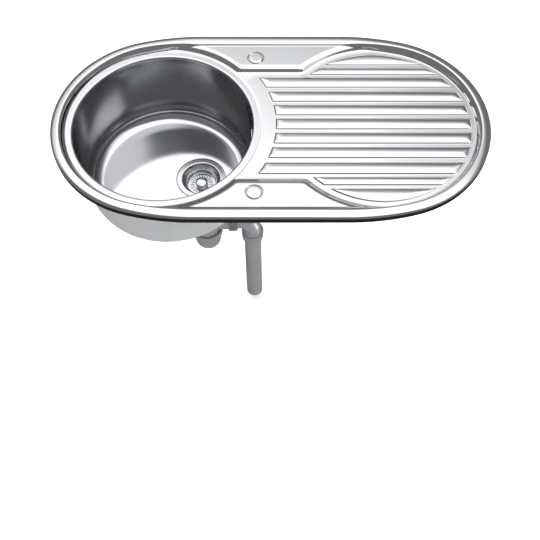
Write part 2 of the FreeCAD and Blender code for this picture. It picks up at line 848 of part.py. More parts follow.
def make_waste_body():
    wall = size["waste_wall"]
    outer = size["waste_radius"]
    inner = outer - wall
    rim = size["waste_rim_radius"]
    neck = size["thread_radius"]
    bore = size["pipe_radius"] - size["pipe_wall"]
    shoulder = size["waste_shoulder_radius"]
    top = SEAT - SHEET - size["lower_gasket_plate"]
    bend = STRAINER - size["waste_shoulder_depth"]
    base = STRAINER - size["waste_depth"]
    neck_end = base - size["thread_length"]
    corners = [
        (bore, neck_end),
        (neck, neck_end),
        (neck, base),
        (outer - shoulder, base),
        (outer, base + shoulder, shoulder),
        (outer, top - size["waste_rim_plate"]),
        (rim, top - size["waste_rim_plate"]),
        (rim, top),
        (inner, top),
        (inner, bend),
        (bore, base + wall),
    ]
    waste = turned("waste_body", corners, DRAIN_X)
    spigot = body_sketch(waste, "XZ_Plane")
    draw_circle(spigot, size["spigot_radius"], 0, SPIGOT)
    pad(waste, spigot, size["spigot_reach"], backwards=True)
    hollow = body_sketch(waste, "XZ_Plane")
    draw_circle(hollow, size["spigot_radius"] - size["spigot_wall"], 0, SPIGOT)
    pocket(waste, hollow, size["spigot_reach"] + OVER, backwards=False)
    clear = body_sketch(waste, "XY_Plane", top)
    draw_circle(clear, inner)
    pocket(waste, clear, top - bend)
    web = body_sketch(waste, "XY_Plane", BASIN)
    draw_loop(web, box_corners(2 * inner + wall, size["waste_web_plate"]))
    web_pad = pad(waste, web, BASIN - bend, backwards=True)
    repeat_round(waste, web_pad, 2).Angle = 180
    boss = body_sketch(waste, "XY_Plane", BASIN)
    draw_circle(boss, size["waste_boss_radius"])
    pad(waste, boss, BASIN - bend, backwards=True)
    thread = body_sketch(waste, "XY_Plane", BASIN)
    draw_circle(thread, size["screw_radius"])
    waste.Tip = pocket(waste, thread, BASIN - bend + OVER)
    under = SEAT - SHEET
    turned("waste_gasket", ring_corners(size["drain_hole_radius"], rim, top, under), DRAIN_X)


def make_fixing_screw():
    """Long screw that draws the waste body up to the strainer."""
    shank = size["screw_radius"]
    seat = BASIN + size["strainer_wall"]
    head = size["screw_head_radius"]
    tip = BASIN - size["screw_length"]
    top = seat + size["screw_head_height"]
    corners = [(0, tip), (shank, tip), (shank, seat), (head, seat), (head, top), (0, top)]
    turned("strainer_screw", corners, DRAIN_X)


# Nuts: a ribbed sleeve over a thread with a plate that holds a pipe


def make_nut(node, outer, thread, pipe, height, x, y, z, turn, lip=None, plate=None):
    """The threaded mouth of the nut is at its own zero and its plate at the far end."""
    plate = plate or size["nut_base_plate"]
    lip = lip or size["nut_lip_radius"]
    lip_height = size["nut_lip_height"]
    corners = [
        (thread + GAP, 0),
        (lip, 0),
        (lip, lip_height),
        (outer, lip_height),
        (outer, height),
        (pipe + GAP, height),
        (pipe + GAP, height - plate),
        (thread + GAP, height - plate),
    ]
    nut = turned(node, corners, x, y, z, turn)
    rib = body_sketch(nut, "XY_Plane", lip_height)
    depth = size["nut_rib_depth"]
    draw_loop(rib, box_corners(2 * depth, size["nut_rib_width"], outer, 0))
    repeat_round(nut, pad(nut, rib, height - 2 * lip_height), NUT_RIBS)


UPSIDE_DOWN = (Vector(1, 0, 0), 180)
TO_THE_RIGHT = (Vector(0, 1, 0), 90)
TO_THE_REAR = (Vector(1, 0, 0), -90)


def make_tail_pipe():
    """Flanged pipe from the waste body, sealed by a washer, down into the trap."""
    radius = size["pipe_radius"]
    bore = radius - size["pipe_wall"]
    neck_end = STRAINER - size["waste_depth"] - size["thread_length"]
    collar_top = neck_end - size["washer_plate"]
    collar_base = collar_top - size["collar_plate"]
    tip = TRAP_TOP - size["dip_length"]
    turned("tail_washer", ring_corners(bore, size["thread_radius"], collar_top, neck_end), DRAIN_X)
    corners = [(bore, tip), (radius, tip), (radius, collar_base), (size["thread_radius"], collar_base),
               (size["thread_radius"], collar_top), (bore, collar_top)]
    turned("tail_pipe", corners, DRAIN_X)
    top = STRAINER - size["waste_depth"]
    plate = collar_base - GAP - top + size["nut_height"]
    make_nut("tail_nut", size["nut_radius"], size["thread_radius"], radius, size["nut_height"],
             DRAIN_X, 0, top - GAP, UPSIDE_DOWN, plate=plate)


def make_trap():
    pipe = size["pipe_radius"]
    neck = size["thread_radius"]
    outer = size["trap_radius"]
    inner = outer - size["trap_wall"]
    wall = size["trap_wall"]
    shoulder = size["trap_shoulder_radius"]
    thread = size["trap_thread_radius"]
    nut_height = size["trap_nut_height"]
    neck_top = TRAP_TOP + nut_height - size["nut_base_plate"] - size["seal_plate"]
    thread_top = TRAP_BASE - GAP - size["nut_lip_height"]
    thread_base = thread_top - size["trap_thread_height"]
    corners = [
        (inner, thread_base),
        (thread, thread_base),
        (thread, thread_top),
        (outer, thread_top),
        (outer, TRAP_TOP - shoulder),
        (outer - shoulder, TRAP_TOP, shoulder),
        (neck, TRAP_TOP),
        (neck, neck_top),
        (pipe + GAP, neck_top),
        (pipe + GAP, TRAP_TOP - wall),
        (outer - shoulder, TRAP_TOP - wall),
        (inner, TRAP_TOP - shoulder, -(shoulder - wall)),
    ]
    trap = turned("trap_body", corners, DRAIN_X)
    reach = size["spout_length"]
    spout = body_sketch(trap, "YZ_Plane", inner + wall / 2)
    draw_circle(spout, neck, 0, OUTLET)
    pad(trap, spout, reach - inner - wall / 2)
    bore = body_sketch(trap, "YZ_Plane", reach)
    draw_circle(bore, pipe - size["pipe_wall"], 0, OUTLET)
    pocket(trap, bore, reach - inner + OVER)
    socket = body_sketch(trap, "YZ_Plane", reach)
    draw_circle(socket, pipe + GAP, 0, OUTLET)
    pocket(trap, socket, size["spout_socket"])
    seal_top = neck_top + size["seal_plate"] - GAP
    turned("trap_inlet_seal", ring_corners(pipe + GAP, neck, neck_top, seal_top), DRAIN_X)
    make_nut("trap_inlet_nut", size["nut_radius"], neck, pipe, nut_height, DRAIN_X, 0, TRAP_TOP + GAP, None)
    make_trap_cup(thread_base)


def make_trap_cup(thread_base):
    """Round-bottomed cup with its seal, held up by a threaded ring."""
    outer = size["cup_radius"]
    inner = outer - size["cup_wall"]
    thread = size["trap_thread_radius"]
    seal_base = thread_base - size["cup_seal_plate"]
    flange_base = seal_base - size["cup_flange_plate"]
    middle = flange_base - size["cup_straight"]
    turned("trap_cup_seal", ring_corners(inner, thread, seal_base, thread_base), DRAIN_X)
    corners = [
        (0, middle - outer),
        (outer, middle, outer),
        (outer, flange_base),
        (thread, flange_base),
        (thread, seal_base),
        (inner, seal_base),
        (inner, middle),
        (0, middle - inner, -inner),
    ]
    turned("trap_cup", corners, DRAIN_X)
    ring = size["ring_radius"]
    lip = size["ring_lip_radius"]
    top = TRAP_BASE - GAP
    base = top - size["ring_height"]
    hold = flange_base - GAP
    ring_profile = [
        (outer + GAP, base),
        (ring, base),
        (ring, top - size["ring_lip_height"]),
        (lip, top - size["ring_lip_height"]),
        (lip, top),
        (thread + GAP, top),
        (thread + GAP, hold),
        (outer + GAP, hold),
    ]
    nut = turned("trap_cup_ring", ring_profile, DRAIN_X)
    rib = body_sketch(nut, "XY_Plane", base)
    draw_loop(rib, box_corners(2 * size["nut_rib_depth"], size["nut_rib_width"], ring, 0))
    repeat_round(nut, pad(nut, rib, size["ring_height"] - size["ring_lip_height"]), NUT_RIBS)


def make_outlet():
    """Union nut, elbow and the pipe that goes down to the drain."""
    pipe = size["pipe_radius"]
    bore = pipe - size["pipe_wall"]
    neck = size["thread_radius"]
    bend = size["elbow_bend_radius"]
    start = size["union_nut_start"]
    height = size["union_nut_height"]
    end = size["spout_length"]
    plate = start + height - end - size["seal_plate"]
    make_nut("outlet_union_nut", size["nut_radius"], neck, pipe, height, DRAIN_X + start, 0, OUTLET, TO_THE_RIGHT,
             plate=plate)
    seal = ring_corners(pipe + GAP, neck, 0, size["seal_plate"] - GAP)
    turned("outlet_union_seal", seal, DRAIN_X + end, 0, OUTLET, TO_THE_RIGHT)

    elbow = new_body("outlet_elbow", ELBOW_X, 0, OUTLET)
    inlet = end - size["spout_socket"] + GAP
    level = body_sketch(elbow, "YZ_Plane", inlet - size["elbow_reach"])
    draw_circle(level, pipe)
    draw_circle(level, bore)
    pad(elbow, level, size["elbow_reach"] - inlet - bend)
    corner = body_sketch(elbow, "YZ_Plane", -bend, -bend)
    draw_circle(corner, pipe, 0, bend)
    draw_circle(corner, bore, 0, bend)
    turn = elbow.newObject("PartDesign::Revolution", "elbow_bend")
    turn.Profile = corner
    turn.ReferenceAxis = (corner, ["H_Axis"])
    turn.Angle = 90
    socket = size["socket_radius"]
    outlet_pipe = size["outlet_pipe_radius"]
    step = size["socket_step"]
    top = -size["socket_top"]
    base = top - size["socket_length"]
    leg_sketch = body_sketch(elbow, "XZ_Plane")
    draw_loop(leg_sketch, [
        (outlet_pipe + GAP, base),
        (socket, base),
        (socket, top),
        (pipe, top + step),
        (pipe, -bend),
        (bore, -bend),
        (bore, top - step),
        (outlet_pipe + GAP, top - step),
    ])
    down = elbow.newObject("PartDesign::Revolution", "elbow_leg")
    down.Profile = leg_sketch
    down.ReferenceAxis = (leg_sketch, ["V_Axis"])
    down.Angle = 360

    seal_base = OUTLET + base - size["seal_plate"]
    seal = ring_corners(outlet_pipe + GAP, socket, seal_base + GAP, OUTLET + base)
    turned("outlet_pipe_seal", seal, ELBOW_X)
    nut_base = seal_base - size["nut_base_plate"]
    make_nut("outlet_pipe_nut", size["outlet_nut_radius"], socket, outlet_pipe, size["outlet_nut_height"],
             ELBOW_X, 0, nut_base + size["outlet_nut_height"], UPSIDE_DOWN, size["outlet_nut_lip_radius"])
    pipe_top = OUTLET + top - 2 * step
    tip = pipe_top - size["outlet_pipe_length"]
    wall = size["pipe_wall"]
    held = outlet_pipe - size["pipe_relief"]
    shoulder = nut_base - GAP
    corners = [(outlet_pipe - wall, tip), (outlet_pipe, tip), (outlet_pipe, shoulder), (held, shoulder),
               (held, pipe_top), (outlet_pipe - wall, pipe_top)]
    turned("outlet_pipe", corners, ELBOW_X)


# Overflow: from the head behind the bowl's wall down a tube and a hose to the waste body

WALL_SLOPE = size["bowl_draft"] / (size["bowl_depth"] - size["bowl_corner_radius"])
WALL_AT_OVERFLOW = BOWL_RADIUS - WALL_SLOPE * size["overflow_depth"]
WALL_BACK = WALL_AT_OVERFLOW + SHEET
HEAD_X = BOWL_X + WALL_BACK + size["head_gap"]
TUBE_X = HEAD_X + size["head_depth"] / 2
HEAD_BASE = OVERFLOW - size["head_height"] / 2


def make_overflow_head():
    wall = size["head_wall"]
    width = size["head_width"]
    height = size["head_height"]
    depth = size["head_depth"]
    head = new_body("overflow_head", HEAD_X, 0, OVERFLOW)
    outline = body_sketch(head, "XZ_Plane")
    low, high = -height / 2, height / 2
    draw_loop(outline, [
        (0, low),
        (depth, low),
        (depth, high - depth / 2),
        (depth / 2, high, depth / 2),
        (0, high),
    ])
    pad(head, outline, width, both_ways=True)
    cavity = body_sketch(head, "YZ_Plane", 0)
    draw_loop(cavity, box_corners(width - 2 * wall, height - depth / 2 - wall, 0, -depth / 4 + wall / 2))
    pocket(head, cavity, depth - wall, backwards=True)
    outlet = body_sketch(head, "XY_Plane", low)
    draw_circle(outlet, size["hose_radius"] - size["tube_wall"], depth / 2)
    pocket(head, outlet, wall + OVER, backwards=True)
    boss = body_sketch(head, "YZ_Plane", depth - wall / 2)
    draw_circle(boss, size["overflow_boss_radius"])
    pad(head, boss, depth - wall / 2, backwards=True)
    thread = body_sketch(head, "YZ_Plane", 0)
    draw_circle(thread, size["overflow_screw_radius"])
    pocket(head, thread, depth / 2, backwards=True)


def make_overflow_gasket():
    """Black block, flat to the head and hollow to the round bowl."""
    width, height = size["head_width"], size["head_height"]
    reach = size["head_gap"] + OVER
    slab = block("gasket_slab", reach, width, height, HEAD_X - reach / 2, 0, HEAD_BASE)
    window = block("gasket_window", 3 * reach, size["overflow_hole_width"], size["overflow_hole_height"],
                   HEAD_X - reach / 2, 0, OVERFLOW - size["overflow_hole_height"] / 2)
    drum = doc.addObject("Part::Cylinder", "gasket_drum")
    bind(drum, "Radius", WALL_BACK + WALL_SLOPE * height / 2 + SNUG)
    bind(drum, "Height", height + 2 * OVER)
    stand(drum, BOWL_X, 0, HEAD_BASE - OVER)
    cutters = combined("Part::MultiFuse", "gasket_cutters", [drum, window])
    keep(combined("Part::Cut", "overflow_gasket", [slab, cutters]), "overflow_gasket")


def make_overflow_plate():
    """Slotted plate inside the bowl with its screw."""
    width, height = size["plate_width"], size["plate_height"]
    thick = size["plate_thickness"]
    seat = leg(WALL_AT_OVERFLOW - WALL_SLOPE * height / 2, width / 2) - GAP
    plate = new_body("overflow_plate", BOWL_X + seat, 0, OVERFLOW)
    outline = body_sketch(plate, "YZ_Plane")
    draw_loop(outline, box_corners(width, height))
    pad(plate, outline, thick, backwards=True)
    slots = body_sketch(plate, "YZ_Plane")
    slot = size["plate_slot_height"]
    slot_length = size["overflow_hole_width"] - slot
    for number in range(PLATE_SLOTS):
        if number != PLATE_SLOTS // 2:
            draw_loop(slots, box_corners(slot_length, slot, 0, (2 * number - PLATE_SLOTS + 1) * slot))
    pocket(plate, slots, thick + OVER, backwards=False)
    hole = body_sketch(plate, "YZ_Plane")
    draw_circle(hole, size["overflow_screw_radius"] + SNUG)
    pocket(plate, hole, thick + OVER, backwards=False)
    shank = size["overflow_screw_radius"]
    head = size["overflow_screw_head"]
    reach = HEAD_X - BOWL_X - seat + size["head_depth"] / 3
    corners = [(0, -2 * thick), (head - thick, -2 * thick), (head, -thick, thick), (shank, -thick)]
    corners += [(shank, reach), (0, reach)]
    turned("overflow_screw", corners, BOWL_X + seat, 0, OVERFLOW, TO_THE_RIGHT)


def make_overflow_pipes():
    outer = size["hose_radius"]
    wall = size["tube_wall"]
    tube_base = HEAD_BASE - size["tube_length"]
    tube_end = tube_base - size["cuff_length"] / 2
    turned("overflow_tube", ring_corners(outer - wall, outer, tube_end, HEAD_BASE), TUBE_X)
    cuff = ring_corners(outer + GAP, size["cuff_radius"], tube_base - size["cuff_length"], tube_base)
    turned("overflow_cuff", cuff, TUBE_X)
    reach = size["spigot_reach"]
    washer = ring_corners(size["hose_bore_radius"], size["spigot_radius"], 0, size["spigot_washer_plate"])
    turned("overflow_washer", washer, DRAIN_X, reach, SPIGOT, TO_THE_REAR)
    nut, thread = size["spigot_nut_radius"], size["spigot_radius"]
    make_nut("overflow_nut", nut, thread, outer, size["spigot_nut_height"], DRAIN_X, size["spigot_nut_start"],
             SPIGOT, TO_THE_REAR, nut + size["nut_rib_depth"], size["spigot_nut_plate"])


def hose_wire():
    """Straight runs joined by tangent arcs along the hose's route."""
    points = [Vector(*p) for p in HOSE_ROUTE]
    edges = []
    radii = []
    here = points[0]
    for before, point, after in zip(points, points[1:], points[2:]):
        toward, away = point - before, after - point
        half_turn = toward.getAngle(away) / 2
        tangent = BEND_SHARE * min(toward.Length, away.Length)
        radii.append(tangent / math.tan(half_turn))
        toward.normalize()
        away.normalize()
        arc_start, arc_end = point - toward * tangent, point + away * tangent
        inward = (away - toward).normalize()
        reach = radii[-1] / math.cos(half_turn) - radii[-1]
        edges.append(Part.LineSegment(here, arc_start).toShape())
        edges.append(Part.Arc(arc_start, point + inward * reach, arc_end).toShape())
        here = arc_end
    edges.append(Part.LineSegment(here, points[-1]).toShape())
    print("hose bend radii", [round(r, 1) for r in radii])
    return Part.Wire(edges)


def hose_stations(wire, places):
    """Point, direction and steady sideways axis at each distance along the wire."""
    stations = []
    side = Vector(1, 0, 0)
    for place in places:
        rest = place
        for edge in wire.Edges:
            if rest <= edge.Length or edge.isSame(wire.Edges[-1]):
                break
            rest -= edge.Length
        spot = edge.getParameterByLength(min(rest, edge.Length))
        ahead = edge.tangentAt(spot).normalize()
        side = (side - ahead * side.dot(ahead)).normalize()
        stations.append((edge.valueAt(spot), ahead, side))
    return stations


def ring_wire(station, radius):
    point, ahead, side = station
    ring = Part.Circle(Vector(), Vector(0, 0, 1), radius).toShape()
    ring.Placement = Placement(point, Rotation(side, ahead.cross(side), ahead, "ZXY"))
    return Part.Wire([ring])


def make_overflow_hose():
    """Corrugated hose: each rib is a crest, a groove and the two slopes between them."""
    wire = hose_wire()
    crest = size["hose_radius"].value
    groove = crest - size["hose_groove"].value
    bore = size["hose_bore_radius"].value
    plain_end = 2 * crest
    pitch = size["hose_pitch"].value
    ribs = int((wire.Length - 2 * plain_end) / pitch)
    first = (wire.Length - ribs * pitch) / 2
    places = [0]
    radii = [crest]
    for rib in range(ribs):
        for step, radius in enumerate((crest, groove, groove, crest)):
            places.append(first + (rib + (step + 0.5) / 4) * pitch)
            radii.append(radius)
    places.append(wire.Length)
    radii.append(crest)
    stations = hose_stations(wire, places)
    rings = [ring_wire(station, radius) for station, radius in zip(stations, radii)]
    ribbed = Part.makeLoft(rings, True, True)
    hollow = wire.makePipeShell([ring_wire(stations[0], bore)], True, True)
    hose = ribbed.cut(hollow)
    mean = math.pi * ((crest * crest + groove * groove) / 2 - bore * bore)
    print("hose length", round(wire.Length, 1), "ribs", ribs)
    print("hose volume", round(hose.Volume), "near", round(mean * wire.Length))
    print("hose least gap", round(least_gap(stations, plain_end * 3) - 2 * crest, 1))
    item = doc.addObject("Part::Feature", "overflow_hose")
    item.Shape = hose
    keep(item, "overflow_hose")


def least_gap(stations, along):
    """Smallest distance between centre points that are further apart along the hose."""
    points = [s[0] for s in stations]
    least = math.inf
    for i, point in enumerate(points):
        travelled = 0
        for before, other in zip(points[i:], points[i + 1:]):
            travelled += before.distanceToPoint(other)
            if travelled > along:
                least = min(least, point.distanceToPoint(other))
    return least


make_deck()
make_tap_blanks()
make_bowl()
make_rim_seal()
make_clip_brackets()
make_clip_levers()
make_strainer()
make_basket()
make_waste_body()
make_fixing_screw()
make_tail_pipe()
make_trap()
make_outlet()
make_overflow_head()
make_overflow_gasket()
make_overflow_plate()
make_overflow_pipes()
make_overflow_hose()
doc.recompute()

for item in doc.Objects:
    if "Invalid" in item.State or "Error" in item.State:
        raise RuntimeError(f"{item.Name} failed: {item.State}")
for item in nodes:
    if item.Shape.isNull() or not item.Shape.isValid():
        raise RuntimeError(f"{item.Label} has no valid shape")

os.makedirs("parts", exist_ok=True)
for item in nodes:
    item.Shape.exportStep(f"parts/{item.Label}.step")
    box = item.Shape.BoundBox
    print(f"{item.Label:26s} {len(item.Shape.Solids)} {item.Shape.Volume:12.1f} "
          f"x {box.XMin:8.1f} {box.XMax:8.1f} y {box.YMin:8.1f} {box.YMax:8.1f} "
          f"z {box.ZMin:8.1f} {box.ZMax:8.1f}")
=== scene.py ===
import json
import math

import bpy
import numpy as np
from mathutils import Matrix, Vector
from mathutils.geometry import delaunay_2d_cdt


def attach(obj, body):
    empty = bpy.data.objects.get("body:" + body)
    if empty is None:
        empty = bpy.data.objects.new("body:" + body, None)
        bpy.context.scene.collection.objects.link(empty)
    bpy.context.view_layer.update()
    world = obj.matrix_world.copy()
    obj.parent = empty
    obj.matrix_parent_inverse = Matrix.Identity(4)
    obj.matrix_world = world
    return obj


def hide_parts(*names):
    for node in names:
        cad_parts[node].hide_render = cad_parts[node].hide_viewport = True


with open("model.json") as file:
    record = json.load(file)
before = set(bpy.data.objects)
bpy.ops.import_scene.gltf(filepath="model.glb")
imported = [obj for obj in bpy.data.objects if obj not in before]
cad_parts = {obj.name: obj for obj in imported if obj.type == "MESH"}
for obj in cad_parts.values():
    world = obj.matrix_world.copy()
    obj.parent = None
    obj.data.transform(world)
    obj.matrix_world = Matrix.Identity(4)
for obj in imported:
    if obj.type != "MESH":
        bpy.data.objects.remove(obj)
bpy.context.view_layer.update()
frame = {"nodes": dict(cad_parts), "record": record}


# The studio: a white paper floor and wall, three soft lamps, and a white tent that is open and dark
# towards the camera and near the horizon. Polished steel shows the tent as white and its dark openings
# as the fine lines along every pressed edge.

def linear(hex_colour):
    """An sRGB hex colour as the linear colour that a shader takes."""
    shares = [int(hex_colour[i:i + 2], 16) / 255 for i in (1, 3, 5)]
    return [s / 12.92 if s <= 0.04045 else ((s + 0.055) / 1.055) ** 2.4 for s in shares] + [1.0]


def add_node(tree, kind, settings=None, links=None):
    """Adds a node. Settings name its properties and sockets; links name sockets and what feeds them."""
    made = tree.nodes.new(kind)
    for name, value in (settings or {}).items():
        if isinstance(name, int) or name in made.inputs:
            made.inputs[name].default_value = value
        else:
            setattr(made, name, value)
    for name, source in (links or {}).items():
        tree.links.new(source, made.inputs[name])
    return made


def start_material(name, settings):
    """A new material, its node tree, its shader and the place on the piece that its patterns follow."""
    made = bpy.data.materials.new(name)
    made.use_nodes = True
    tree = made.node_tree
    shader = tree.nodes["Principled BSDF"]
    for socket, value in settings.items():
        shader.inputs[socket].default_value = value
    place = add_node(tree, "ShaderNodeTexCoord").outputs["Object"]
    return made, tree, shader, place


def add_object(name, data):
    """A new object in the scene that holds a mesh, curve, lamp or camera."""
    made = bpy.data.objects.new(name, data)
    bpy.context.scene.collection.objects.link(made)
    return made


def aim_at(item, place, target):
    """Puts a camera or lamp in its place and turns it towards a target."""
    item.location = place
    item.rotation_euler = (Vector(target) - item.location).to_track_quat("-Z", "Y").to_euler()


# The camera stands where the outlines in the photograph put it. Its own shift is small and its aim
# takes up the rest, so that the object stays in the picture from other sides.
LENS = 54.783
SENSOR_WIDTH = 36
CAMERA_SHIFT = (-0.0010, -0.05)
CAMERA_PLACE = (0, -1.0140, 1.2590)
CAMERA_AIM = (0, -0.2766, 0.017)
SIGHT = 50

camera_data = bpy.data.cameras.new("camera")
camera_data.lens = LENS
camera_data.sensor_width = SENSOR_WIDTH
camera_data.shift_x, camera_data.shift_y = CAMERA_SHIFT
camera_data.clip_end = SIGHT
camera = add_object("camera", camera_data)
aim_at(camera, CAMERA_PLACE, CAMERA_AIM)
bpy.context.scene.camera = camera
bpy.context.scene.view_settings.view_transform = "Standard"

# The floor lies clear of the outlet pipe's end, also when the pipe is pulled out by 15 mm. It glows a
# little, because a paper this wide is lit from all over the studio.
FLOOR_LEVEL = -0.705
FLOOR_WIDTH = 24
FLOOR_GLOW = 0.38

bpy.ops.object.select_all(action="DESELECT")
bpy.ops.mesh.primitive_grid_add(x_subdivisions=8, y_subdivisions=8, size=FLOOR_WIDTH,
                                location=(0, 0, FLOOR_LEVEL))
floor = bpy.context.object
floor.name = "paper_floor"
floor.visible_glossy = False
paper, tree, shader, place = start_material("matt_white_paper", {
    "Roughness": 0.9, "Emission Color": linear("#FFFFFF"), "Emission Strength": FLOOR_GLOW})
# Fibre clouds of about 17 mm, one in 1 / 60 m
fibre = add_node(tree, "ShaderNodeTexNoise", {"Scale": 60.0, "Detail": 3.0}, {"Vector": place})
tone = add_node(tree, "ShaderNodeMix", {"data_type": "RGBA", 6: linear("#F4F4F4"), 7: linear("#FCFCFC")},
                {0: fibre.outputs["Fac"]})
tree.links.new(tone.outputs[2], shader.inputs["Base Color"])
floor.data.materials.append(paper)

# The same paper rises as a wall far behind and around, so that no view looks out of the studio
WALL_RADIUS = 11.5
WALL_HEIGHT = 12

bpy.ops.object.select_all(action="DESELECT")
bpy.ops.mesh.primitive_cylinder_add(vertices=96, radius=WALL_RADIUS, depth=WALL_HEIGHT,
                                    end_fill_type="NOTHING",
                                    location=(0, 0, FLOOR_LEVEL + WALL_HEIGHT / 2))
sweep = bpy.context.object
sweep.name = "paper_wall"
sweep.visible_glossy = False
sweep.visible_diffuse = False
sweep.visible_shadow = False
wall_paper, tree, shader, place = start_material("lit_white_paper", {
    "Base Color": linear("#202020"), "Roughness": 0.9, "Emission Strength": 1.0})
# Clouds of half a metre, as wide as the lamps' uneven light
fibre = add_node(tree, "ShaderNodeTexNoise", {"Scale": 2.0, "Detail": 2.0}, {"Vector": place})
tone = add_node(tree, "ShaderNodeMix", {"data_type": "RGBA", 6: linear("#F8F8F8"), 7: linear("#FFFFFF")},
                {0: fibre.outputs["Fac"]})
tree.links.new(tone.outputs[2], shader.inputs["Emission Color"])
sweep.data.materials.append(wall_paper)

# The tent's brightness: its white panel, its dark cloth, and the gap straight below
TENT_WHITE = 1.5
TENT_DARK = 0.19
TENT_BELOW = 0.02
GAP_EDGE = (-0.76, -0.5)
# How high the panel starts and its grey at each height, as the sine of the angle above the horizon:
# dark up to 27 degrees, grey from 32, lighter to 44 and white from 50
PANEL_START, PANEL_FULL = 0.46, 0.765
PANEL_GREYS = ((0.53, 0.42), (0.70, 0.60))
# What bounds or shades the panel: a direction, where along it the change starts and ends, and the
# share of light before and after
PANEL_SHADES = (
    # The front edge, a little further open on the right
    ((-0.1, 0.99, 0.0), (-0.53, -0.36), (0.0, 1.0)),
    # The sides: the panel hangs askew, and they run from the front right to the back left
    ((1.0, 1.0, 0.0), (-0.65, -0.35), (0.0, 1.0)),
    ((1.0, 1.0, 0.0), (1.08, 0.68), (0.0, 1.0)),
    # Two grey flags at the back shade the far tap ledge and the drainer's right-hand end
    ((0.016, 0.686, 0.728), (0.992, 0.9988), (1.0, 0.70)),
    ((0.24, 0.61, 0.755), (0.985, 0.998), (1.0, 0.74)),
)

world = bpy.data.worlds.new("tent")
bpy.context.scene.world = world
world.use_nodes = True
tree = world.node_tree
way = add_node(tree, "ShaderNodeTexCoord").outputs["Generated"]
height = add_node(tree, "ShaderNodeSeparateXYZ", {}, {0: way}).outputs["Z"]
high = add_node(tree, "ShaderNodeValToRGB", {}, {"Fac": height})
grades = high.color_ramp.elements
grades[0].position, grades[1].position = PANEL_START, PANEL_FULL
for level, grey in PANEL_GREYS:
    grades.new(level).color = (grey, grey, grey, 1)
lit = high.outputs["Color"]
for direction, (start, end), (before, after) in PANEL_SHADES:
    across = add_node(tree, "ShaderNodeVectorMath", {"operation": "DOT_PRODUCT", 1: direction}, {0: way})
    fade = add_node(tree, "ShaderNodeMapRange",
                    {"interpolation_type": "SMOOTHSTEP", "From Min": start, "From Max": end,
                     "To Min": before, "To Max": after}, {"Value": across.outputs["Value"]})
    both = add_node(tree, "ShaderNodeMath", {"operation": "MULTIPLY"},
                    {0: lit, 1: fade.outputs["Result"]})
    lit = both.outputs["Value"]
ground = add_node(tree, "ShaderNodeMapRange",
                  {"From Min": GAP_EDGE[0], "From Max": GAP_EDGE[1],
                   "To Min": TENT_BELOW, "To Max": TENT_DARK}, {"Value": height})
white = add_node(tree, "ShaderNodeMix", {"data_type": "FLOAT", 3: TENT_WHITE},
                 {0: lit, 2: ground.outputs["Result"]})
background = tree.nodes["Background"]
tree.links.new(white.outputs[0], background.inputs["Strength"])
background.inputs["Color"].default_value = linear("#FDFDFE")

# Each lamp's name, sides, watts, place and target, and what can't see it. The two big ones would show
# as grey patches in the steel.
LAMPS = (
    ("soft_lamp", (3.2, 2.4), 90, (-0.9, 0.9, 3.0), (0, 0, -0.3), "visible_glossy"),
    ("front_fill", (2.0, 2.0), 22, (-0.3, -2.2, 0.5), (0, 0, -0.4), "visible_glossy"),
    ("kit_lamp", (0.2, 0.4), 0.9, (0.36, -0.16, -0.52), (0, 0.04, -0.35), "visible_camera"),
)
for name, sides, watts, place, target, sight in LAMPS:
    lamp_data = bpy.data.lights.new(name, "AREA")
    lamp_data.shape = "RECTANGLE"
    lamp_data.size, lamp_data.size_y = sides
    lamp_data.energy = watts
    lamp = add_object(name, lamp_data)
    aim_at(lamp, place, target)
    setattr(lamp, sight, False)


# The overflow hose: thin polypropylene blown into a corrugated tube, satin silver-grey, with plain
# ends. One end is held by the nut on the waste body's spigot and the other is pushed into the cuff
# under the overflow tube.

# All sizes of the hose are in metres
HOSE_ROUTE = [
    (-0.148, 0.063, -0.2018), (-0.148, 0.091, -0.2018), (-0.136, 0.119, -0.205), (-0.113, 0.138, -0.213),
    (-0.084, 0.144, -0.223), (-0.056, 0.137, -0.232), (-0.033, 0.117, -0.240), (-0.018, 0.091, -0.243),
    (-0.012, 0.061, -0.238), (-0.012, 0.033, -0.226), (-0.014, 0.011, -0.204), (-0.0159, 0, -0.177),
    (-0.0159, 0, -0.1498),
]
HOSE_RADIUS = 0.011
HOSE_BORE = 0.008
HOSE_GROOVE = 0.0014
HOSE_PITCH = 0.004
HOSE_PLAIN_END = 0.022
PLAIN_STEPS = (0.0, 0.008, 0.016)
# Above 1, this narrows the grooves and leaves the crests round
GROOVE_SHARPNESS = 1.6
HOSE_SIDES = 36
RINGS_A_RIB = 8
ROUTE_STEPS = 24


def spline_points(name, route, steps):
    """The points of a smooth line that a route pulls along, read from its NURBS spline."""
    line = bpy.data.curves.new(name, "CURVE")
    line.dimensions = "3D"
    spline = line.splines.new("NURBS")
    spline.points.add(len(route) - 1)
    for point, at in zip(spline.points, route):
        point.co = (*at, 1)
    spline.order_u = 3
    spline.use_endpoint_u = True
    spline.resolution_u = steps
    carrier = add_object(name, line)
    bpy.context.view_layer.update()
    drawn = bpy.data.meshes.new_from_object(carrier.evaluated_get(bpy.context.evaluated_depsgraph_get()))
    points = [v.co.copy() for v in drawn.vertices]
    bpy.data.meshes.remove(drawn)
    bpy.data.objects.remove(carrier)
    bpy.data.curves.remove(line)
    return points


def hose_radius(along, total, pitch):
    """The corrugated wall: round crests and narrower grooves between the two plain ends."""
    if along < HOSE_PLAIN_END or along > total - HOSE_PLAIN_END:
        return HOSE_RADIUS
    turn = math.cos(2 * math.pi * (along - HOSE_PLAIN_END) / pitch)
    return HOSE_RADIUS - HOSE_GROOVE * (0.5 - 0.5 * turn) ** GROOVE_SHARPNESS


def select_only(piece):
    """Makes one piece the active and only selected one."""
    bpy.ops.object.select_all(action="DESELECT")
    bpy.context.view_layer.objects.active = piece
    piece.select_set(True)


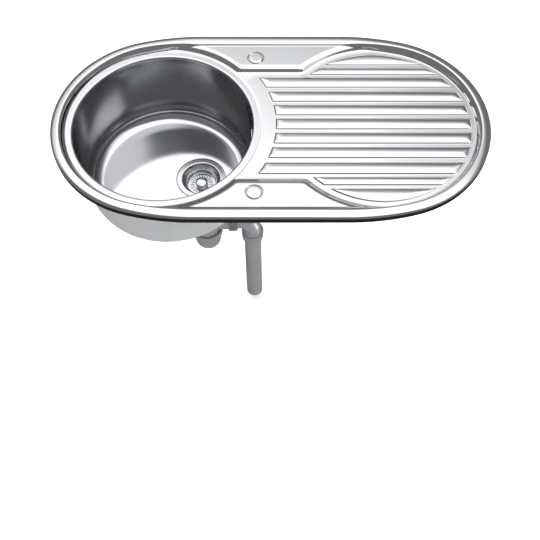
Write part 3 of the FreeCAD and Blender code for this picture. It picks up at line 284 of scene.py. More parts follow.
hose_path = spline_points("hose_line", HOSE_ROUTE, ROUTE_STEPS)
path_steps = [0.0]
for before, after in zip(hose_path, hose_path[1:]):
    path_steps.append(path_steps[-1] + (after - before).length)
hose_total = path_steps[-1]
ribs = round((hose_total - 2 * HOSE_PLAIN_END) / HOSE_PITCH)
rib_pitch = (hose_total - 2 * HOSE_PLAIN_END) / ribs
stations = list(PLAIN_STEPS)
stations += [HOSE_PLAIN_END + rib_pitch * n / RINGS_A_RIB for n in range(ribs * RINGS_A_RIB + 1)]
stations += [hose_total - step for step in PLAIN_STEPS[::-1]]
middles = np.array([
    [np.interp(s, path_steps, [p[axis] for p in hose_path]) for axis in range(3)] for s in stations
])
heading = np.gradient(middles, stations, axis=0)
heading /= np.linalg.norm(heading, axis=1)[:, None]
side = np.array([1.0, 0.0, 0.0])
turns = np.linspace(0, 2 * math.pi, HOSE_SIDES, endpoint=False)
outer_rings, bore_rings = [], []
for number, (middle, ahead, along) in enumerate(zip(middles, heading, stations)):
    side = side - ahead * np.dot(side, ahead)
    side /= np.linalg.norm(side)
    up = np.cross(ahead, side)
    spokes = np.outer(np.cos(turns), side) + np.outer(np.sin(turns), up)
    outer_rings.append(middle + spokes * hose_radius(along, hose_total, rib_pitch))
    if number % RINGS_A_RIB == 0 or number == len(stations) - 1:
        bore_rings.append(middle + spokes * HOSE_BORE)
# Out along the ribbed wall and back through the smooth bore
shell = outer_rings + bore_rings[::-1]
vertices = [tuple(point) for ring in shell for point in ring]
faces = []
for ring in range(len(shell)):
    low = ring * HOSE_SIDES
    high = (ring + 1) % len(shell) * HOSE_SIDES
    for n in range(HOSE_SIDES):
        m = (n + 1) % HOSE_SIDES
        faces.append((low + n, low + m, high + m, high + n))
hose_mesh = bpy.data.meshes.new("corrugated_hose")
hose_mesh.from_pydata(vertices, [], faces)
hose = add_object("corrugated_hose", hose_mesh)
select_only(hose)
bpy.ops.object.shade_smooth_by_angle(angle=math.radians(50))

# Polypropylene with a silver pigment, blow-moulded: satin, with a slight unevenness from the mould
hose_plastic, tree, shader, place = start_material("silver_polypropylene_blown",
                                                   {"Metallic": 0.25, "Roughness": 0.38})
# Flow marks of about 6 mm, one in 1 / 160 m
flow = add_node(tree, "ShaderNodeTexNoise", {"Scale": 160.0, "Detail": 4.0}, {"Vector": place})
tone = add_node(tree, "ShaderNodeMix", {"data_type": "RGBA", 6: linear("#8D8F92"), 7: linear("#A3A5A8")},
                {0: flow.outputs["Fac"]})
tree.links.new(tone.outputs[2], shader.inputs["Base Color"])
grain = add_node(tree, "ShaderNodeBump", {"Strength": 0.15, "Distance": 0.0002},
                 {"Height": flow.outputs["Fac"]})
tree.links.new(grain.outputs["Normal"], shader.inputs["Normal"])
hose.data.materials.append(hose_plastic)
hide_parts("overflow_hose")
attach(hose, "sink")


# The deck: one sheet of 0.8 mm stainless steel pressed to a rolled rim, two tap ledges, a round
# recess for the bowl and a round ribbed drainer, then polished. It is drawn on the plan of its
# pressed edges and raised by one height rule, because the walls run into each other in soft valleys
# that separate strips of faces can't follow.

# All sizes of the deck are in millimetres
MM = 0.001
SHEET = 0.8
# The outline: end arcs, straights along the long sides, and shoulder arcs that blend the two. The
# end and shoulder arcs join at an angle of JOIN_TURN.
END_X = 210.0
END_RADIUS = 215.0
SHOULDER_X = 141.5
SHOULDER_Y = 256.0
SHOULDER_RADIUS = 480.0
HALF_DEPTH = 224.0
JOIN_TURN = math.atan2(SHOULDER_Y, END_X - SHOULDER_X)
# The rim's rolled edge, and the wall inside it: where its foot is, how far it runs and which share of
# that is the hollow foot. Where the wall falls to the recess, its foot lies a little further out and
# it runs a little longer.
RIM_TOP = 17.0
RIM_EDGE = 6.0
RIM_EDGE_WIDE = 15.0
RIM_WALL = 27.0
RIM_WALL_RUN = 11.5
RIM_WALL_HOLLOW = 0.15
DEEP_SHIFT = 0.5
DEEP_RUN = 1.0
SKIRT_STEPS = (0.5, 5.0, 5.0, 0.5)
LEDGE_LEVEL = 12.0
RECESS_LEVEL = 3.5
# The recess: two round fields and the band between them, their wall, and the lip that dips to the
# bowl's opening
FIELD_X = 209.5
RECESS_RADIUS = 195.0
BAND = 133.0
THROAT_BLEND = 3.0
RECESS_WALL = 3.85
RECESS_WALL_RUN = 17.5
RECESS_WALL_HOLLOW = 0.3
BOWL_OPENING = 189.0
LIP_WIDE = 4.5
LIP_DIP = 0.75
LIP_HOLLOW = 0.5
# The ribs: the circles on which they end, their edges as shares of the field, how many run up to the
# bowl, and their section: insets from a rib's edge and the heights there
RIB_FIELD = 182.0
RIB_BOWL = 220.0
RIB_SHARES = [(-0.0725, 0.0725), (0.119, 0.2615), (0.309, 0.4505), (0.509, 0.654), (0.691, 0.7945)]
RIBS_TO_BOWL = 4
OUTER_RIB_SHARE = 0.835
RIB_SECTION = ((-0.5, 0.0, 0.5, 1.0, 1.6, 2.4, 3.4, 5.0, 7.0, 9.0, 11.0, 13.2),
               (0.0, 0.12, 0.65, 1.2, 1.65, 2.1, 2.5, 2.86, 3.18, 3.44, 3.65, 3.78))
TAP_HOLE_X = -30.0
TAP_HOLE_Y = 165.0
TAP_HOLE_RADIUS = 17.5


def soft_max(a, b, blend):
    """The larger of two insets, rounded over where they are within a blend of each other."""
    near = np.maximum(blend - np.abs(a - b), 0)
    return np.maximum(a, b) + near * near / (4 * blend)


def rim_inset(x, y):
    """How far a point lies inside the outline."""
    x, y = np.abs(x), np.abs(y)
    end = END_RADIUS - np.hypot(x - END_X, y)
    shoulder = SHOULDER_RADIUS - np.hypot(x - SHOULDER_X, y + SHOULDER_Y)
    in_end = (END_X - SHOULDER_X) * y < SHOULDER_Y * (x - END_X)
    return np.where(in_end, end, np.where(x > SHOULDER_X, shoulder, HALF_DEPTH - y))


def recess_inset(x, y):
    """How far a point lies inside the two round fields and the band that joins them."""
    x, y = np.abs(x), np.abs(y)
    field = RECESS_RADIUS - np.hypot(x - FIELD_X, y)
    band = np.where(x < FIELD_X, BAND - y, -1e3)
    return soft_max(field, band, THROAT_BLEND)


def rib_insets(x, y):
    """How far a point lies inside the nearest rib."""
    field = RIB_FIELD - np.hypot(x - FIELD_X, y)
    to_bowl = np.where(x > FIELD_X, field, np.hypot(x + FIELD_X, y) - RIB_BOWL)
    y = np.abs(y)
    best = np.minimum(y - RIB_FIELD * OUTER_RIB_SHARE, field)
    for number, (low, high) in enumerate(RIB_SHARES):
        inside = np.minimum(y - RIB_FIELD * low, RIB_FIELD * high - y)
        best = np.maximum(best, np.minimum(inside, to_bowl if number < RIBS_TO_BOWL else field))
    return best


def pressed(inset, foot, run, hollow):
    """The rise of a pressed wall from its foot, 0 to 1: a tight hollow, then a broad round shoulder."""
    share = np.clip((foot - inset) / run, 0, 1)
    return np.where(share < hollow, share * share / hollow, 1 - (1 - share) ** 2 / (1 - hollow))


def deck_height(x, y):
    """The height of the deck's upper face."""
    inset = rim_inset(x, y)
    edge = np.clip(RIM_EDGE_WIDE - inset, 0, RIM_EDGE_WIDE) / RIM_EDGE_WIDE
    bead = RIM_TOP - RIM_EDGE + RIM_EDGE * np.sqrt(1 - edge * edge)
    drop = LEDGE_LEVEL - RECESS_LEVEL
    wall = pressed(recess_inset(x, y), RECESS_WALL, RECESS_WALL_RUN, RECESS_WALL_HOLLOW)
    base = RECESS_LEVEL + drop * wall
    base += np.interp(rib_insets(x, y), *RIB_SECTION)
    to_bowl = np.hypot(x + FIELD_X, y) - BOWL_OPENING
    base -= LIP_DIP * pressed(to_bowl, LIP_WIDE, LIP_WIDE, LIP_HOLLOW)
    deep = np.clip((LEDGE_LEVEL - base) / drop, 0, 1)
    rise = pressed(inset, RIM_WALL - DEEP_SHIFT * deep, RIM_WALL_RUN + DEEP_RUN * deep, RIM_WALL_HOLLOW)
    return base + (bead - base) * rise


def outline_points(inset, spacing):
    """The outline moved in by an inset, as points along it."""
    end, shoulder = END_RADIUS - inset, SHOULDER_RADIUS - inset
    points = []
    steps = round(2 * JOIN_TURN * END_RADIUS / spacing)
    for n in range(steps):
        turn = -JOIN_TURN + 2 * JOIN_TURN * n / steps
        points.append((END_X + end * math.cos(turn), end * math.sin(turn)))
    steps = round((math.pi / 2 - JOIN_TURN) * SHOULDER_RADIUS / spacing)
    for n in range(steps):
        turn = JOIN_TURN + (math.pi / 2 - JOIN_TURN) * n / steps
        points.append((SHOULDER_X + shoulder * math.cos(turn), shoulder * math.sin(turn) - SHOULDER_Y))
    straight = 2 * SHOULDER_X
    steps = round(straight / spacing)
    points += [(SHOULDER_X - straight * n / steps, HALF_DEPTH - inset) for n in range(steps)]
    upper = [p for p in points if p[1] >= 0]
    upper = sorted(set(upper + [(-x, y) for x, y in upper]), key=lambda p: math.atan2(p[1], p[0]))
    return upper + [(-x, -y) for x, y in upper if abs(y) > 1e-6]


def circle_points(x, y, radius, steps):
    """Evenly spaced points round a circle."""
    turns = [2 * math.pi * n / steps for n in range(steps)]
    return [(x + radius * math.cos(t), y + radius * math.sin(t)) for t in turns]


def rib_points(low, high, inset, to_bowl):
    """A rib's outline moved in by an inset."""
    low, high = low + inset, high - inset
    field, bowl = RIB_FIELD - inset, RIB_BOWL + inset
    rows = np.linspace(low, high, RIB_ROWS)
    right = [(FIELD_X + math.sqrt(field ** 2 - y * y), y) for y in rows]
    if to_bowl:
        left = [(-FIELD_X + math.sqrt(bowl ** 2 - y * y), y) for y in rows]
    else:
        left = [(FIELD_X - math.sqrt(field ** 2 - y * y), y) for y in rows]

    def run(start, end):
        steps = round(math.dist(start, end) / RIB_SPACING)
        start, way = np.array(start), np.array(end) - np.array(start)
        return [tuple(start + way * n / steps) for n in range(1, steps)]

    return left[::-1][-1:] + run(left[0], right[0]) + right + run(right[-1], left[-1]) + left[:0:-1]


def segment_points(inset):
    """The outermost rib, a segment of the round field: its arc and then its chord."""
    low, field = RIB_FIELD * OUTER_RIB_SHARE + inset, RIB_FIELD - inset
    reach = math.acos(low / field)
    turns = np.linspace(-reach, reach, ARC_ROWS)
    arc = [(FIELD_X + field * math.sin(t), field * math.cos(t)) for t in turns]
    chord = np.linspace(arc[-1][0], arc[0][0], CHORD_ROWS)[1:-1]
    return arc + [(x, low) for x in chord]


def add_line(points, keep=lambda x, y: True, closed=True):
    """Adds a line to the plan, without the points that fail a test."""
    places = {}
    for n, point in enumerate(points):
        if keep(*point):
            places[n] = len(plan)
            plan.append(point)
    for n in places:
        m = (n + 1) % len(points)
        if m in places and (m or closed):
            joins.append((places[n], places[m]))


def add_both(points):
    """Adds a line and its mirror image across the deck's middle."""
    add_line(points)
    add_line([(x, -y) for x, y in points])


# The plan's lines lie where the height changes, as insets from each edge. A line just beyond a wall
# or rib lies on the flat and keeps the shading there flat.
OUTLINE_SPACING = 4.6
WALL_STEPS = 20
RIM_LINES = [RIM_EDGE_WIDE * (1 - math.cos(math.radians(a))) for a in range(0, 91, 10)]
RIM_LINES += [15.7] + [16.4 + 10.6 * n / WALL_STEPS for n in range(WALL_STEPS + 1)] + [28.4]
RECESS_LINES = [-14.9] + [
    RECESS_WALL - RECESS_WALL_RUN + RECESS_WALL_RUN * n / WALL_STEPS for n in range(WALL_STEPS + 1)
]
# The recess's lines stop at the foot of the rim's wall
RECESS_CLEAR = 27.6
RING_STEPS = 288
BAND_SPACING = 6.0
RIB_LINES = (-1.4,) + RIB_SECTION[0][:-1]
# The narrowest crown that a rib's innermost line may leave
RIB_CROWN = 2.0
RIB_ROWS = 10
RIB_SPACING = 9.0
ARC_ROWS = 46
CHORD_ROWS = 24
LIP_LINES = (0.0, 0.8, 1.6, 2.4, 3.2, 4.0, 4.6)
TAP_HOLE_STEPS = 64

plan, joins = [], []
for inset in RIM_LINES:
    add_line(outline_points(inset, OUTLINE_SPACING))
for inset in RECESS_LINES:
    half_band = BAND - inset
    field = RECESS_RADIUS - inset
    throat = FIELD_X - math.sqrt(field ** 2 - half_band ** 2)
    for side_x in (-1, 1):
        add_line(circle_points(side_x * FIELD_X, 0, field, RING_STEPS),
                 keep=lambda x, y: rim_inset(x, y) > RECESS_CLEAR
                 and not (abs(x) < FIELD_X and abs(y) < half_band))
    steps = max(2, round(2 * throat / BAND_SPACING))
    for side_y in (-1, 1):
        band = [(-throat + 2 * throat * n / steps, side_y * half_band) for n in range(steps + 1)]
        add_line(band, closed=False)
for number, (low, high) in enumerate(RIB_SHARES):
    for inset in RIB_LINES:
        if 2 * inset > RIB_FIELD * (high - low) - RIB_CROWN:
            continue
        loop = rib_points(RIB_FIELD * low, RIB_FIELD * high, inset, number < RIBS_TO_BOWL)
        if number:
            add_both(loop)
        else:
            add_line(loop)
for inset in RIB_LINES:
    add_both(segment_points(inset))
for wider in LIP_LINES:
    add_line(circle_points(-FIELD_X, 0, BOWL_OPENING + wider, RING_STEPS))
# Loose points round the ribs' ends, so that no triangle there gets long and thin
for radius in (175.0, 192.5):
    plan.extend(circle_points(FIELD_X, 0, radius, RING_STEPS // 2))
# Each tap hole, and a ring close round it that keeps the ledge's shading even
for side_y in (-1, 1):
    for wider in (0.0, 1.5):
        add_line(circle_points(TAP_HOLE_X, side_y * TAP_HOLE_Y, TAP_HOLE_RADIUS + wider, TAP_HOLE_STEPS))

# Triangles over the whole plan, without the bowl's opening and the tap holes
drawn = delaunay_2d_cdt([Vector(p) for p in plan], joins, [], 0, 0.02)
spots = np.array([tuple(p) for p in drawn[0]])
triangles = np.array([f for f in drawn[2] if len(f) == 3])
middle = spots[triangles].mean(axis=1)
solid = np.hypot(middle[:, 0] + FIELD_X, middle[:, 1]) > BOWL_OPENING
solid &= np.hypot(middle[:, 0] - TAP_HOLE_X, np.abs(middle[:, 1]) - TAP_HOLE_Y) > TAP_HOLE_RADIUS
raised = np.column_stack([spots, deck_height(spots[:, 0], spots[:, 1])]) * MM
deck_mesh = bpy.data.meshes.new("pressed_deck")
deck_mesh.from_pydata([tuple(p) for p in raised], [], triangles[solid].tolist())
deck = add_object("pressed_deck", deck_mesh)
select_only(deck)
bpy.ops.object.mode_set(mode="EDIT")
bpy.ops.mesh.select_all(action="SELECT")
bpy.ops.mesh.delete_loose()
bpy.ops.mesh.select_all(action="SELECT")
bpy.ops.mesh.remove_doubles(threshold=0.00005)
bpy.ops.mesh.normals_make_consistent(inside=False)
bpy.ops.mesh.select_all(action="DESELECT")
bpy.ops.object.mode_set(mode="OBJECT")
# The skirt is drawn down from the open edges that lie on the outline
at_edge = rim_inset(*(np.array([v.co[:2] for v in deck.data.vertices]).T / MM)) < 0.05
uses = np.zeros(len(deck.data.edges), int)
edge_of = {tuple(sorted(e.vertices)): e.index for e in deck.data.edges}
for polygon in deck.data.polygons:
    for key in polygon.edge_keys:
        uses[edge_of[tuple(sorted(key))]] += 1
for edge in deck.data.edges:
    edge.select = bool(uses[edge.index] == 1 and all(at_edge[v] for v in edge.vertices))
bpy.ops.object.mode_set(mode="EDIT")
bpy.ops.mesh.select_mode(type="EDGE")
for drop in SKIRT_STEPS:
    bpy.ops.mesh.extrude_region_move(TRANSFORM_OT_translate={"value": (0, 0, -drop * MM)})
bpy.ops.object.mode_set(mode="OBJECT")

# Austenitic stainless steel, polished on a belt and buffed: nearly a mirror, with a trace of hairlines
# along the length
polished, tree, shader, place = start_material("polished_stainless_steel", {
    "Metallic": 1.0, "Base Color": linear("#E4E5E6")})
# A real belt's lines are about 0.1 mm apart. They are drawn 0.6 mm apart, one in 1 / 1600 m, so that
# they show, and 50 mm long.
along = add_node(tree, "ShaderNodeMapping", {"Scale": (20.0, 1600.0, 1600.0)}, {"Vector": place})
hairline = add_node(tree, "ShaderNodeTexNoise", {"Scale": 1.0, "Detail": 2.0},
                    {"Vector": along.outputs["Vector"]})
scratch = add_node(tree, "ShaderNodeBump", {"Strength": 0.006, "Distance": 0.0001},
                   {"Height": hairline.outputs["Fac"]})
tree.links.new(scratch.outputs["Normal"], shader.inputs["Normal"])
# The buff's pressure changes over about 70 mm, one in 1 / 14 m
cloud = add_node(tree, "ShaderNodeTexNoise", {"Scale": 14.0, "Detail": 3.0}, {"Vector": place})
rough = add_node(tree, "ShaderNodeMapRange", {"To Min": 0.06, "To Max": 0.11},
                 {"Value": cloud.outputs["Fac"]})
tree.links.new(rough.outputs["Result"], shader.inputs["Roughness"])

# The same steel as the press left it, on the sides that nobody sees in use: grey and dull, with a
# faint cloudiness of about 55 mm, one in 1 / 18 m, from the drawing oil
mill, tree, shader, place = start_material("mill_finish_stainless_steel", {"Metallic": 0.35})
cloud = add_node(tree, "ShaderNodeTexNoise", {"Scale": 18.0, "Detail": 4.0}, {"Vector": place})
tone = add_node(tree, "ShaderNodeMix", {"data_type": "RGBA", 6: linear("#C6C8CA"), 7: linear("#D6D7D8")},
                {0: cloud.outputs["Fac"]})
tree.links.new(tone.outputs[2], shader.inputs["Base Color"])
rough = add_node(tree, "ShaderNodeMapRange", {"To Min": 0.38, "To Max": 0.5},
                 {"Value": cloud.outputs["Fac"]})
tree.links.new(rough.outputs["Result"], shader.inputs["Roughness"])


def give_thickness(piece, back_slot, angle):
    """Thickens a sheet behind its seen face, sets which of its finishes the back has, and smooths it."""
    wall = piece.modifiers.new("sheet", "SOLIDIFY")
    wall.thickness = SHEET * MM
    wall.offset = -1
    wall.material_offset = back_slot
    wall.material_offset_rim = 0
    bpy.ops.object.modifier_apply(modifier="sheet")
    bpy.ops.object.shade_smooth_by_angle(angle=math.radians(angle))


deck.data.materials.append(polished)
deck.data.materials.append(mill)
give_thickness(deck, 1, 40)
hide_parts("sink_deck")
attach(deck, "sink")


# The bowl: deep-drawn from one disc, trimmed to a flange and seam-welded under the deck. Inside it is
# brushed round and round; outside it keeps the dull grey of the drawing press.

# Where the bowl's and the drain's middles are, in metres. The profiles are in millimetres: radius and
# height, from the flange down, with a ring bead pressed in low on the wall.
BOWL_X = -0.2095
BOWL_STEPS = 96
BOWL_PROFILE = [
    (195, 2.7), (187, 2.7), (181, 2.7), (179, 2.7), (177.47, 2.4), (176.17, 1.53), (175.3, 0.23),
    (175, -1.3), (174.6, -15), (174.05, -35.3), (173.67, -49.3), (172.9, -78), (172, -112), (171.3, -139),
    (170.8, -140.5), (170.7, -142), (170.8, -143.5), (171.15, -145), (171, -147.3),
]
CORNER_RADIUS = 30.0
FLOOR_RADIUS = 141.0
FLOOR_TOP = -177.3
DRAIN_X = -0.148
DRAIN_STEPS = 72
DRAIN_DISH = [
    (53.0, -177.3), (52.5, -177.35), (52.1, -177.6), (51.8, -178.2), (51.7, -180.2), (45.0, -180.3),
]
# The overflow's opening in the wall, in metres: half its width, its lower and its upper edge
OVERFLOW_HALF = 0.0135
OVERFLOW_BAND = (-0.0500, -0.0346)


def ring_shell(profile, middle, steps, fill="NOTHING"):
    """A circle drawn through a profile of radii and heights, left in edit mode at its last ring."""
    bpy.ops.object.select_all(action="DESELECT")
    bpy.ops.mesh.primitive_circle_add(vertices=steps, radius=profile[0][0] * MM, fill_type=fill,
                                      location=(*middle, profile[0][1] * MM))
    made = bpy.context.object
    bpy.ops.object.transform_apply(location=True, rotation=True, scale=True)
    bpy.ops.object.mode_set(mode="EDIT")
    bpy.ops.mesh.select_all(action="SELECT")
    for (radius, level), (next_radius, next_level) in zip(profile, profile[1:]):
        rise = (next_level - level) * MM
        bpy.ops.mesh.extrude_region_move(TRANSFORM_OT_translate={"value": (0, 0, rise)})
        share = next_radius / radius
        bpy.ops.transform.resize(value=(share, share, 1), center_override=(*middle, 0))
    return made


def pick_vertices(piece, test):
    """Selects the vertices, and so the edges and faces between them, that pass a test on their place."""
    for polygon in piece.data.polygons:
        polygon.select = False
    for edge in piece.data.edges:
        edge.select = False
    for vertex in piece.data.vertices:
        vertex.select = test(*vertex.co)


def floor_rims(x, y, z):
    """The two circles that bound the flat floor: the end of its corner and the drain dish's rim."""
    at_floor = abs(z - FLOOR_TOP * MM) < 1e-6
    outer = abs(math.hypot(x - BOWL_X, y) - FLOOR_RADIUS * MM) < 1e-5
    inner = abs(math.hypot(x - DRAIN_X, y) - DRAIN_DISH[0][0] * MM) < 1e-5
    return at_floor and (outer or inner)


def overflow_opening(x, y, z):
    """The hole in the wall on the drainer's side, behind the overflow's slotted plate."""
    return x > BOWL_X + 0.1 and abs(y) < OVERFLOW_HALF and OVERFLOW_BAND[0] < z < OVERFLOW_BAND[1]


corner = [
    (FLOOR_RADIUS + CORNER_RADIUS * math.cos(t), FLOOR_TOP + CORNER_RADIUS - CORNER_RADIUS * math.sin(t))
    for t in np.radians(np.arange(7.5, 91, 7.5))
]
bowl = ring_shell(BOWL_PROFILE + corner, (BOWL_X, 0), BOWL_STEPS)
bowl.name = "drawn_bowl"
bpy.ops.mesh.select_all(action="DESELECT")
bpy.ops.object.mode_set(mode="OBJECT")
dish = ring_shell(DRAIN_DISH, (DRAIN_X, 0), DRAIN_STEPS)
bpy.ops.mesh.select_all(action="DESELECT")
bpy.ops.object.mode_set(mode="OBJECT")
bowl.select_set(True)
dish.select_set(True)
bpy.context.view_layer.objects.active = bowl
bpy.ops.object.join()
# The floor between its corner and the drain's dish
pick_vertices(bowl, floor_rims)
bpy.ops.object.mode_set(mode="EDIT")
bpy.ops.mesh.select_mode(type="VERT")
bpy.ops.mesh.fill(use_beauty=True)
bpy.ops.mesh.select_all(action="DESELECT")
bpy.ops.object.mode_set(mode="OBJECT")
pick_vertices(bowl, overflow_opening)
bpy.ops.object.mode_set(mode="EDIT")
bpy.ops.mesh.select_mode(type="VERT")
bpy.ops.mesh.select_mode(type="FACE")
bpy.ops.mesh.delete(type="FACE")
bpy.ops.mesh.select_mode(type="VERT")
bpy.ops.mesh.select_all(action="SELECT")
bpy.ops.mesh.remove_doubles(threshold=0.00001)
# Faces point into the bowl, so that the sheet's thickness goes outwards
bpy.ops.mesh.normals_make_consistent(inside=True)
bpy.ops.object.mode_set(mode="OBJECT")
select_only(bowl)

# Austenitic stainless steel brushed by a turning pad: satin, with faint rings round the bowl's middle
brushed, tree, shader, place = start_material("brushed_stainless_steel", {"Metallic": 1.0})
about = add_node(tree, "ShaderNodeMapping", {"Location": (-BOWL_X, 0.0, 0.0)}, {"Vector": place})
flat = add_node(tree, "ShaderNodeVectorMath", {"operation": "MULTIPLY", 1: (1.0, 1.0, 0.0)},
                {0: about.outputs["Vector"]})
reach = add_node(tree, "ShaderNodeVectorMath", {"operation": "LENGTH"}, {0: flat.outputs["Vector"]})
level = add_node(tree, "ShaderNodeSeparateXYZ", {}, {0: place}).outputs["Z"]
rings = add_node(tree, "ShaderNodeCombineXYZ", {}, {0: reach.outputs["Value"], 2: level})
# The pad's rings are about 0.3 mm apart and are drawn 1.4 mm apart, one in 1 / 700 m
pad_marks = add_node(tree, "ShaderNodeTexNoise", {"Scale": 700.0, "Detail": 3.0},
                     {"Vector": rings.outputs["Vector"]})
marks = add_node(tree, "ShaderNodeBump", {"Strength": 0.003, "Distance": 0.0002},
                 {"Height": pad_marks.outputs["Fac"]})
tree.links.new(marks.outputs["Normal"], shader.inputs["Normal"])
# Painted shade: the drawn wall, from its mouth to the floor's corner, is coloured greyer than the floor
# and the flange
above = add_node(tree, "ShaderNodeMapRange", {"From Min": -0.165, "From Max": -0.140}, {"Value": level})
below = add_node(tree, "ShaderNodeMapRange", {"From Min": -0.0005, "From Max": -0.006}, {"Value": level})
wall_painted_shade = add_node(tree, "ShaderNodeMath", {"operation": "MULTIPLY"},
                   {0: above.outputs["Result"], 1: below.outputs["Result"]})
tone = add_node(tree, "ShaderNodeMix", {"data_type": "RGBA", 6: linear("#DADBDD"), 7: linear("#BCBDBE")},
                {0: wall_painted_shade.outputs["Value"]})
tree.links.new(tone.outputs[2], shader.inputs["Base Color"])
# The pad lies flat on the floor and leaves it brighter than the wall, with clouds of about 110 mm
cloud = add_node(tree, "ShaderNodeTexNoise", {"Scale": 9.0, "Detail": 3.0}, {"Vector": place})
uneven = add_node(tree, "ShaderNodeMapRange", {"To Min": 0.0, "To Max": 0.03},
                  {"Value": cloud.outputs["Fac"]})
worn = add_node(tree, "ShaderNodeMapRange",
                {"From Min": -0.176, "From Max": -0.165, "To Min": 0.06, "To Max": 0.13},
                {"Value": level})
rough = add_node(tree, "ShaderNodeMath", {"operation": "ADD"},
                 {0: uneven.outputs["Result"], 1: worn.outputs["Result"]})
tree.links.new(rough.outputs["Value"], shader.inputs["Roughness"])

bowl.data.materials.append(brushed)
bowl.data.materials.append(mill)
give_thickness(bowl, 1, 35)
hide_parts("sink_bowl")
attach(bowl, "sink")


# Tap-hole blanks: discs of the deck's own sheet, half sheared so that a tap's fitter knocks them out.
# The punch rounds their edge over and presses a fine groove inside it.

# Radius and height in millimetres, from the hole's edge inwards
BLANK_EDGE = [
    (17.52, 12.0), (17.2, 11.9), (16.8, 11.55), (15.7, 10.4), (15.3, 10.2), (14.9, 10.4), (13.8, 11.7),
    (13.4, 12.05), (12.9, 12.3), (12.0, 12.48), (8.0, 12.5),
]
for name, blank_y in (("rear", TAP_HOLE_Y), ("front", -TAP_HOLE_Y)):
    blank = ring_shell(BLANK_EDGE, (TAP_HOLE_X * MM, blank_y * MM), TAP_HOLE_STEPS)
    blank.name = "tap_blank_" + name
    bpy.ops.mesh.edge_face_add()
    bpy.ops.mesh.select_all(action="SELECT")
    bpy.ops.mesh.normals_make_consistent(inside=False)
    bpy.ops.object.mode_set(mode="OBJECT")
    if blank.data.polygons[-1].normal.z < 0:
        blank.data.flip_normals()
    blank.data.materials.append(polished)
    give_thickness(blank, 0, 35)
    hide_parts("tap_hole_blank_" + name)
    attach(blank, "sink")


# The strainer's flange and basin are pressed from stainless sheet and keep a satin shine. A long screw
# through the basin clamps it and its gasket to the waste body below. The overflow's slotted plate and
# its screw close the hole high in the bowl's wall; they and the long screw are polished.

def dress(names, finish):
    """Gives solids that keep their own shape a finish."""
    for name in names:
        frame["nodes"][name].data.materials.clear()
        frame["nodes"][name].data.materials.append(finish)


# Satin pressing: the die's fine grain shows as a soft, even shine
satin, tree, shader, place = start_material("satin_stainless_steel", {
    "Metallic": 1.0, "Base Color": linear("#E2E3E4")})
# Clouds of about 5 mm, one in 1 / 200 m
cloud = add_node(tree, "ShaderNodeTexNoise", {"Scale": 200.0, "Detail": 3.0}, {"Vector": place})
rough = add_node(tree, "ShaderNodeMapRange", {"To Min": 0.2, "To Max": 0.26},
                 {"Value": cloud.outputs["Fac"]})
tree.links.new(rough.outputs["Result"], shader.inputs["Roughness"])
dress(("strainer_body",), satin)
dress(("strainer_screw", "overflow_plate", "overflow_screw"), polished)


# The strainer basket is a pressed and pierced cup that lifts out by its knob. Both are finished on a
# lathe, which leaves fine rings about the drain's middle and a softer shine than the bowl's floor.

turned, tree, shader, place = start_material("turned_stainless_steel", {
    "Metallic": 1.0, "Base Color": linear("#D2D4D6")})
about = add_node(tree, "ShaderNodeMapping", {"Location": (-DRAIN_X, 0.0, 0.0)}, {"Vector": place})
flat = add_node(tree, "ShaderNodeVectorMath", {"operation": "MULTIPLY", 1: (1.0, 1.0, 0.0)},
                {0: about.outputs["Vector"]})
reach = add_node(tree, "ShaderNodeVectorMath", {"operation": "LENGTH"}, {0: flat.outputs["Vector"]})
# The tool's rings are 0.2 mm apart and are drawn 1 mm apart, one in 1 / 1000 m, so that they show
lathe_rings = add_node(tree, "ShaderNodeTexNoise",
                       {"noise_dimensions": "1D", "Scale": 1000.0, "Detail": 2.0},
                       {"W": reach.outputs["Value"]})
rough = add_node(tree, "ShaderNodeMapRange", {"To Min": 0.1, "To Max": 0.2},
                 {"Value": lathe_rings.outputs["Fac"]})
tree.links.new(rough.outputs["Result"], shader.inputs["Roughness"])
cut = add_node(tree, "ShaderNodeBump", {"Strength": 0.03, "Distance": 0.0001},
               {"Height": lathe_rings.outputs["Fac"]})
tree.links.new(cut.outputs["Normal"], shader.inputs["Normal"])
dress(("strainer_basket",), turned)

# Radius and height in millimetres, from the knob's foot over its rounded edge to the middle
KNOB_STEPS = 48
KNOB_PROFILE = [
    (12.3, -200.8), (12.8, -199.6), (13.2, -198.0), (13.3, -193.4), (13.1, -191.9), (12.5, -190.7),
    (11.5, -189.9), (10.0, -189.4), (7.5, -189.05), (4.0, -188.85), (1.2, -188.8),
]
knob = ring_shell(KNOB_PROFILE, (DRAIN_X, 0), KNOB_STEPS, fill="NGON")
knob.name = "lift_knob"
bpy.ops.mesh.select_all(action="SELECT")
bpy.ops.mesh.normals_make_consistent(inside=False)
bpy.ops.object.mode_set(mode="OBJECT")
bpy.ops.object.shade_smooth_by_angle(angle=math.radians(50))
knob.data.materials.append(turned)
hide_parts("basket_knob")
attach(knob, "basket")
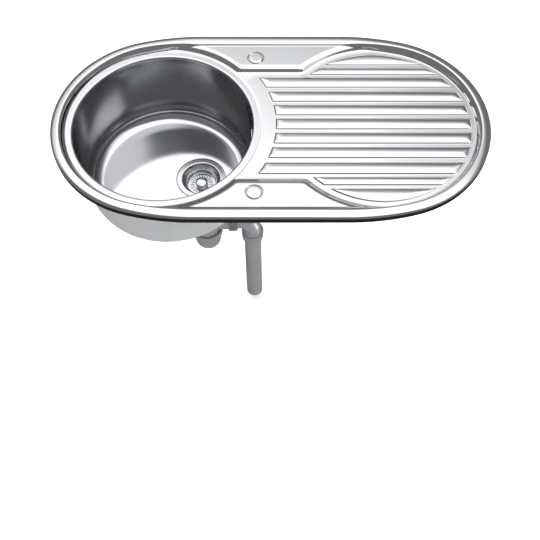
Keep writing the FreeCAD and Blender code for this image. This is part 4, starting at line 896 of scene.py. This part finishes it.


# The waste kit is moulded from polypropylene with a silver pigment, satin from the mould's texture.
# Body, pipes, trap and nuts are screwed together by hand. The two nuts of the side branches get a darker
# copy of the same plastic, as painted shade.

def silver_polypropylene(name, dark_tone, light_tone):
    """Moulded polypropylene: flow clouds of about 40 mm and the mould's grain under a satin shine."""
    plastic, tree, shader, place = start_material(name, {"Metallic": 0.45, "Roughness": 0.3})
    flow = add_node(tree, "ShaderNodeTexNoise", {"Scale": 25.0, "Detail": 3.0}, {"Vector": place})
    tone = add_node(tree, "ShaderNodeMix",
                    {"data_type": "RGBA", 6: linear(dark_tone), 7: linear(light_tone)},
                    {0: flow.outputs["Fac"]})
    tree.links.new(tone.outputs[2], shader.inputs["Base Color"])
    # Grain of 0.1 mm in the mould, drawn at 1.1 mm, one in 1 / 900 m, so that it shows
    grain = add_node(tree, "ShaderNodeTexNoise", {"Scale": 900.0, "Detail": 2.0}, {"Vector": place})
    bump = add_node(tree, "ShaderNodeBump", {"Strength": 0.12, "Distance": 0.0001},
                    {"Height": grain.outputs["Fac"]})
    tree.links.new(bump.outputs["Normal"], shader.inputs["Normal"])
    return plastic


slots = {row["node"]: row["material_slot"] for row in frame["record"]["subparts"]}
# The two nuts that take the darker copy of the plastic, which is painted shade
PAINTED_SHADE_NUTS = ("overflow_nut", "outlet_union_nut")
moulded = [name for name, slot in slots.items() if slot == "satin_grey_plastic"]
dress([name for name in moulded if name not in PAINTED_SHADE_NUTS + ("overflow_hose",)],
      silver_polypropylene("silver_polypropylene_moulded", "#A4A6A8", "#B4B6B8"))
dress(PAINTED_SHADE_NUTS, silver_polypropylene("silver_polypropylene_painted_shade", "#858789", "#939597"))


# The seals are rings and washers of black nitrile rubber, moulded and matt with a faint grey bloom.
# Each sits between two faces that a nut or screw presses together.

rubber, tree, shader, place = start_material("black_rubber_moulded", {"Roughness": 0.6})
# Bloom in patches of about 8 mm, one in 1 / 120 m
bloom = add_node(tree, "ShaderNodeTexNoise", {"Scale": 120.0, "Detail": 4.0}, {"Vector": place})
tone = add_node(tree, "ShaderNodeMix", {"data_type": "RGBA", 6: linear("#151515"), 7: linear("#242424")},
                {0: bloom.outputs["Fac"]})
tree.links.new(tone.outputs[2], shader.inputs["Base Color"])
dress([name for name, slot in slots.items() if slot == "black_rubber"], rubber)


# The rim seal is a strip of closed-cell polyethylene foam, stuck inside the rim's skirt by the maker.
# It is squeezed between the rim and the worktop and shows as a dull dark grey line from below.

foam, tree, shader, place = start_material("closed_cell_foam", {"Roughness": 0.85})
# Cells of about 1.2 mm, one in 1 / 800 m
cells = add_node(tree, "ShaderNodeTexVoronoi", {"Scale": 800.0}, {"Vector": place})
tone = add_node(tree, "ShaderNodeMix", {"data_type": "RGBA", 6: linear("#3A3B3D"), 7: linear("#262729")},
                {0: cells.outputs["Distance"]})
tree.links.new(tone.outputs[2], shader.inputs["Base Color"])
skin = add_node(tree, "ShaderNodeBump", {"Strength": 0.4, "Distance": 0.0003},
                {"Height": cells.outputs["Distance"]})
tree.links.new(skin.outputs["Normal"], shader.inputs["Normal"])
dress([name for name, slot in slots.items() if slot == "foam"], foam)


# The fixing clips: brackets and levers bent from zinc-plated steel strip, and a screw in each that
# draws its lever up against the worktop's underside. The plating has a fine spangle.

zinc, tree, shader, place = start_material("zinc_plated_steel", {"Metallic": 1.0})
# Spangle of about 3 mm, one in 1 / 350 m
spangle = add_node(tree, "ShaderNodeTexVoronoi", {"Scale": 350.0}, {"Vector": place})
tone = add_node(tree, "ShaderNodeMix", {"data_type": "RGBA", 6: linear("#B9BCC0"), 7: linear("#CFD2D4")},
                {0: spangle.outputs["Distance"]})
tree.links.new(tone.outputs[2], shader.inputs["Base Color"])
rough = add_node(tree, "ShaderNodeMapRange", {"To Min": 0.28, "To Max": 0.42},
                 {"Value": spangle.outputs["Distance"]})
tree.links.new(rough.outputs["Result"], shader.inputs["Roughness"])
dress([name for name, slot in slots.items() if slot == "zinc_steel"], zinc)
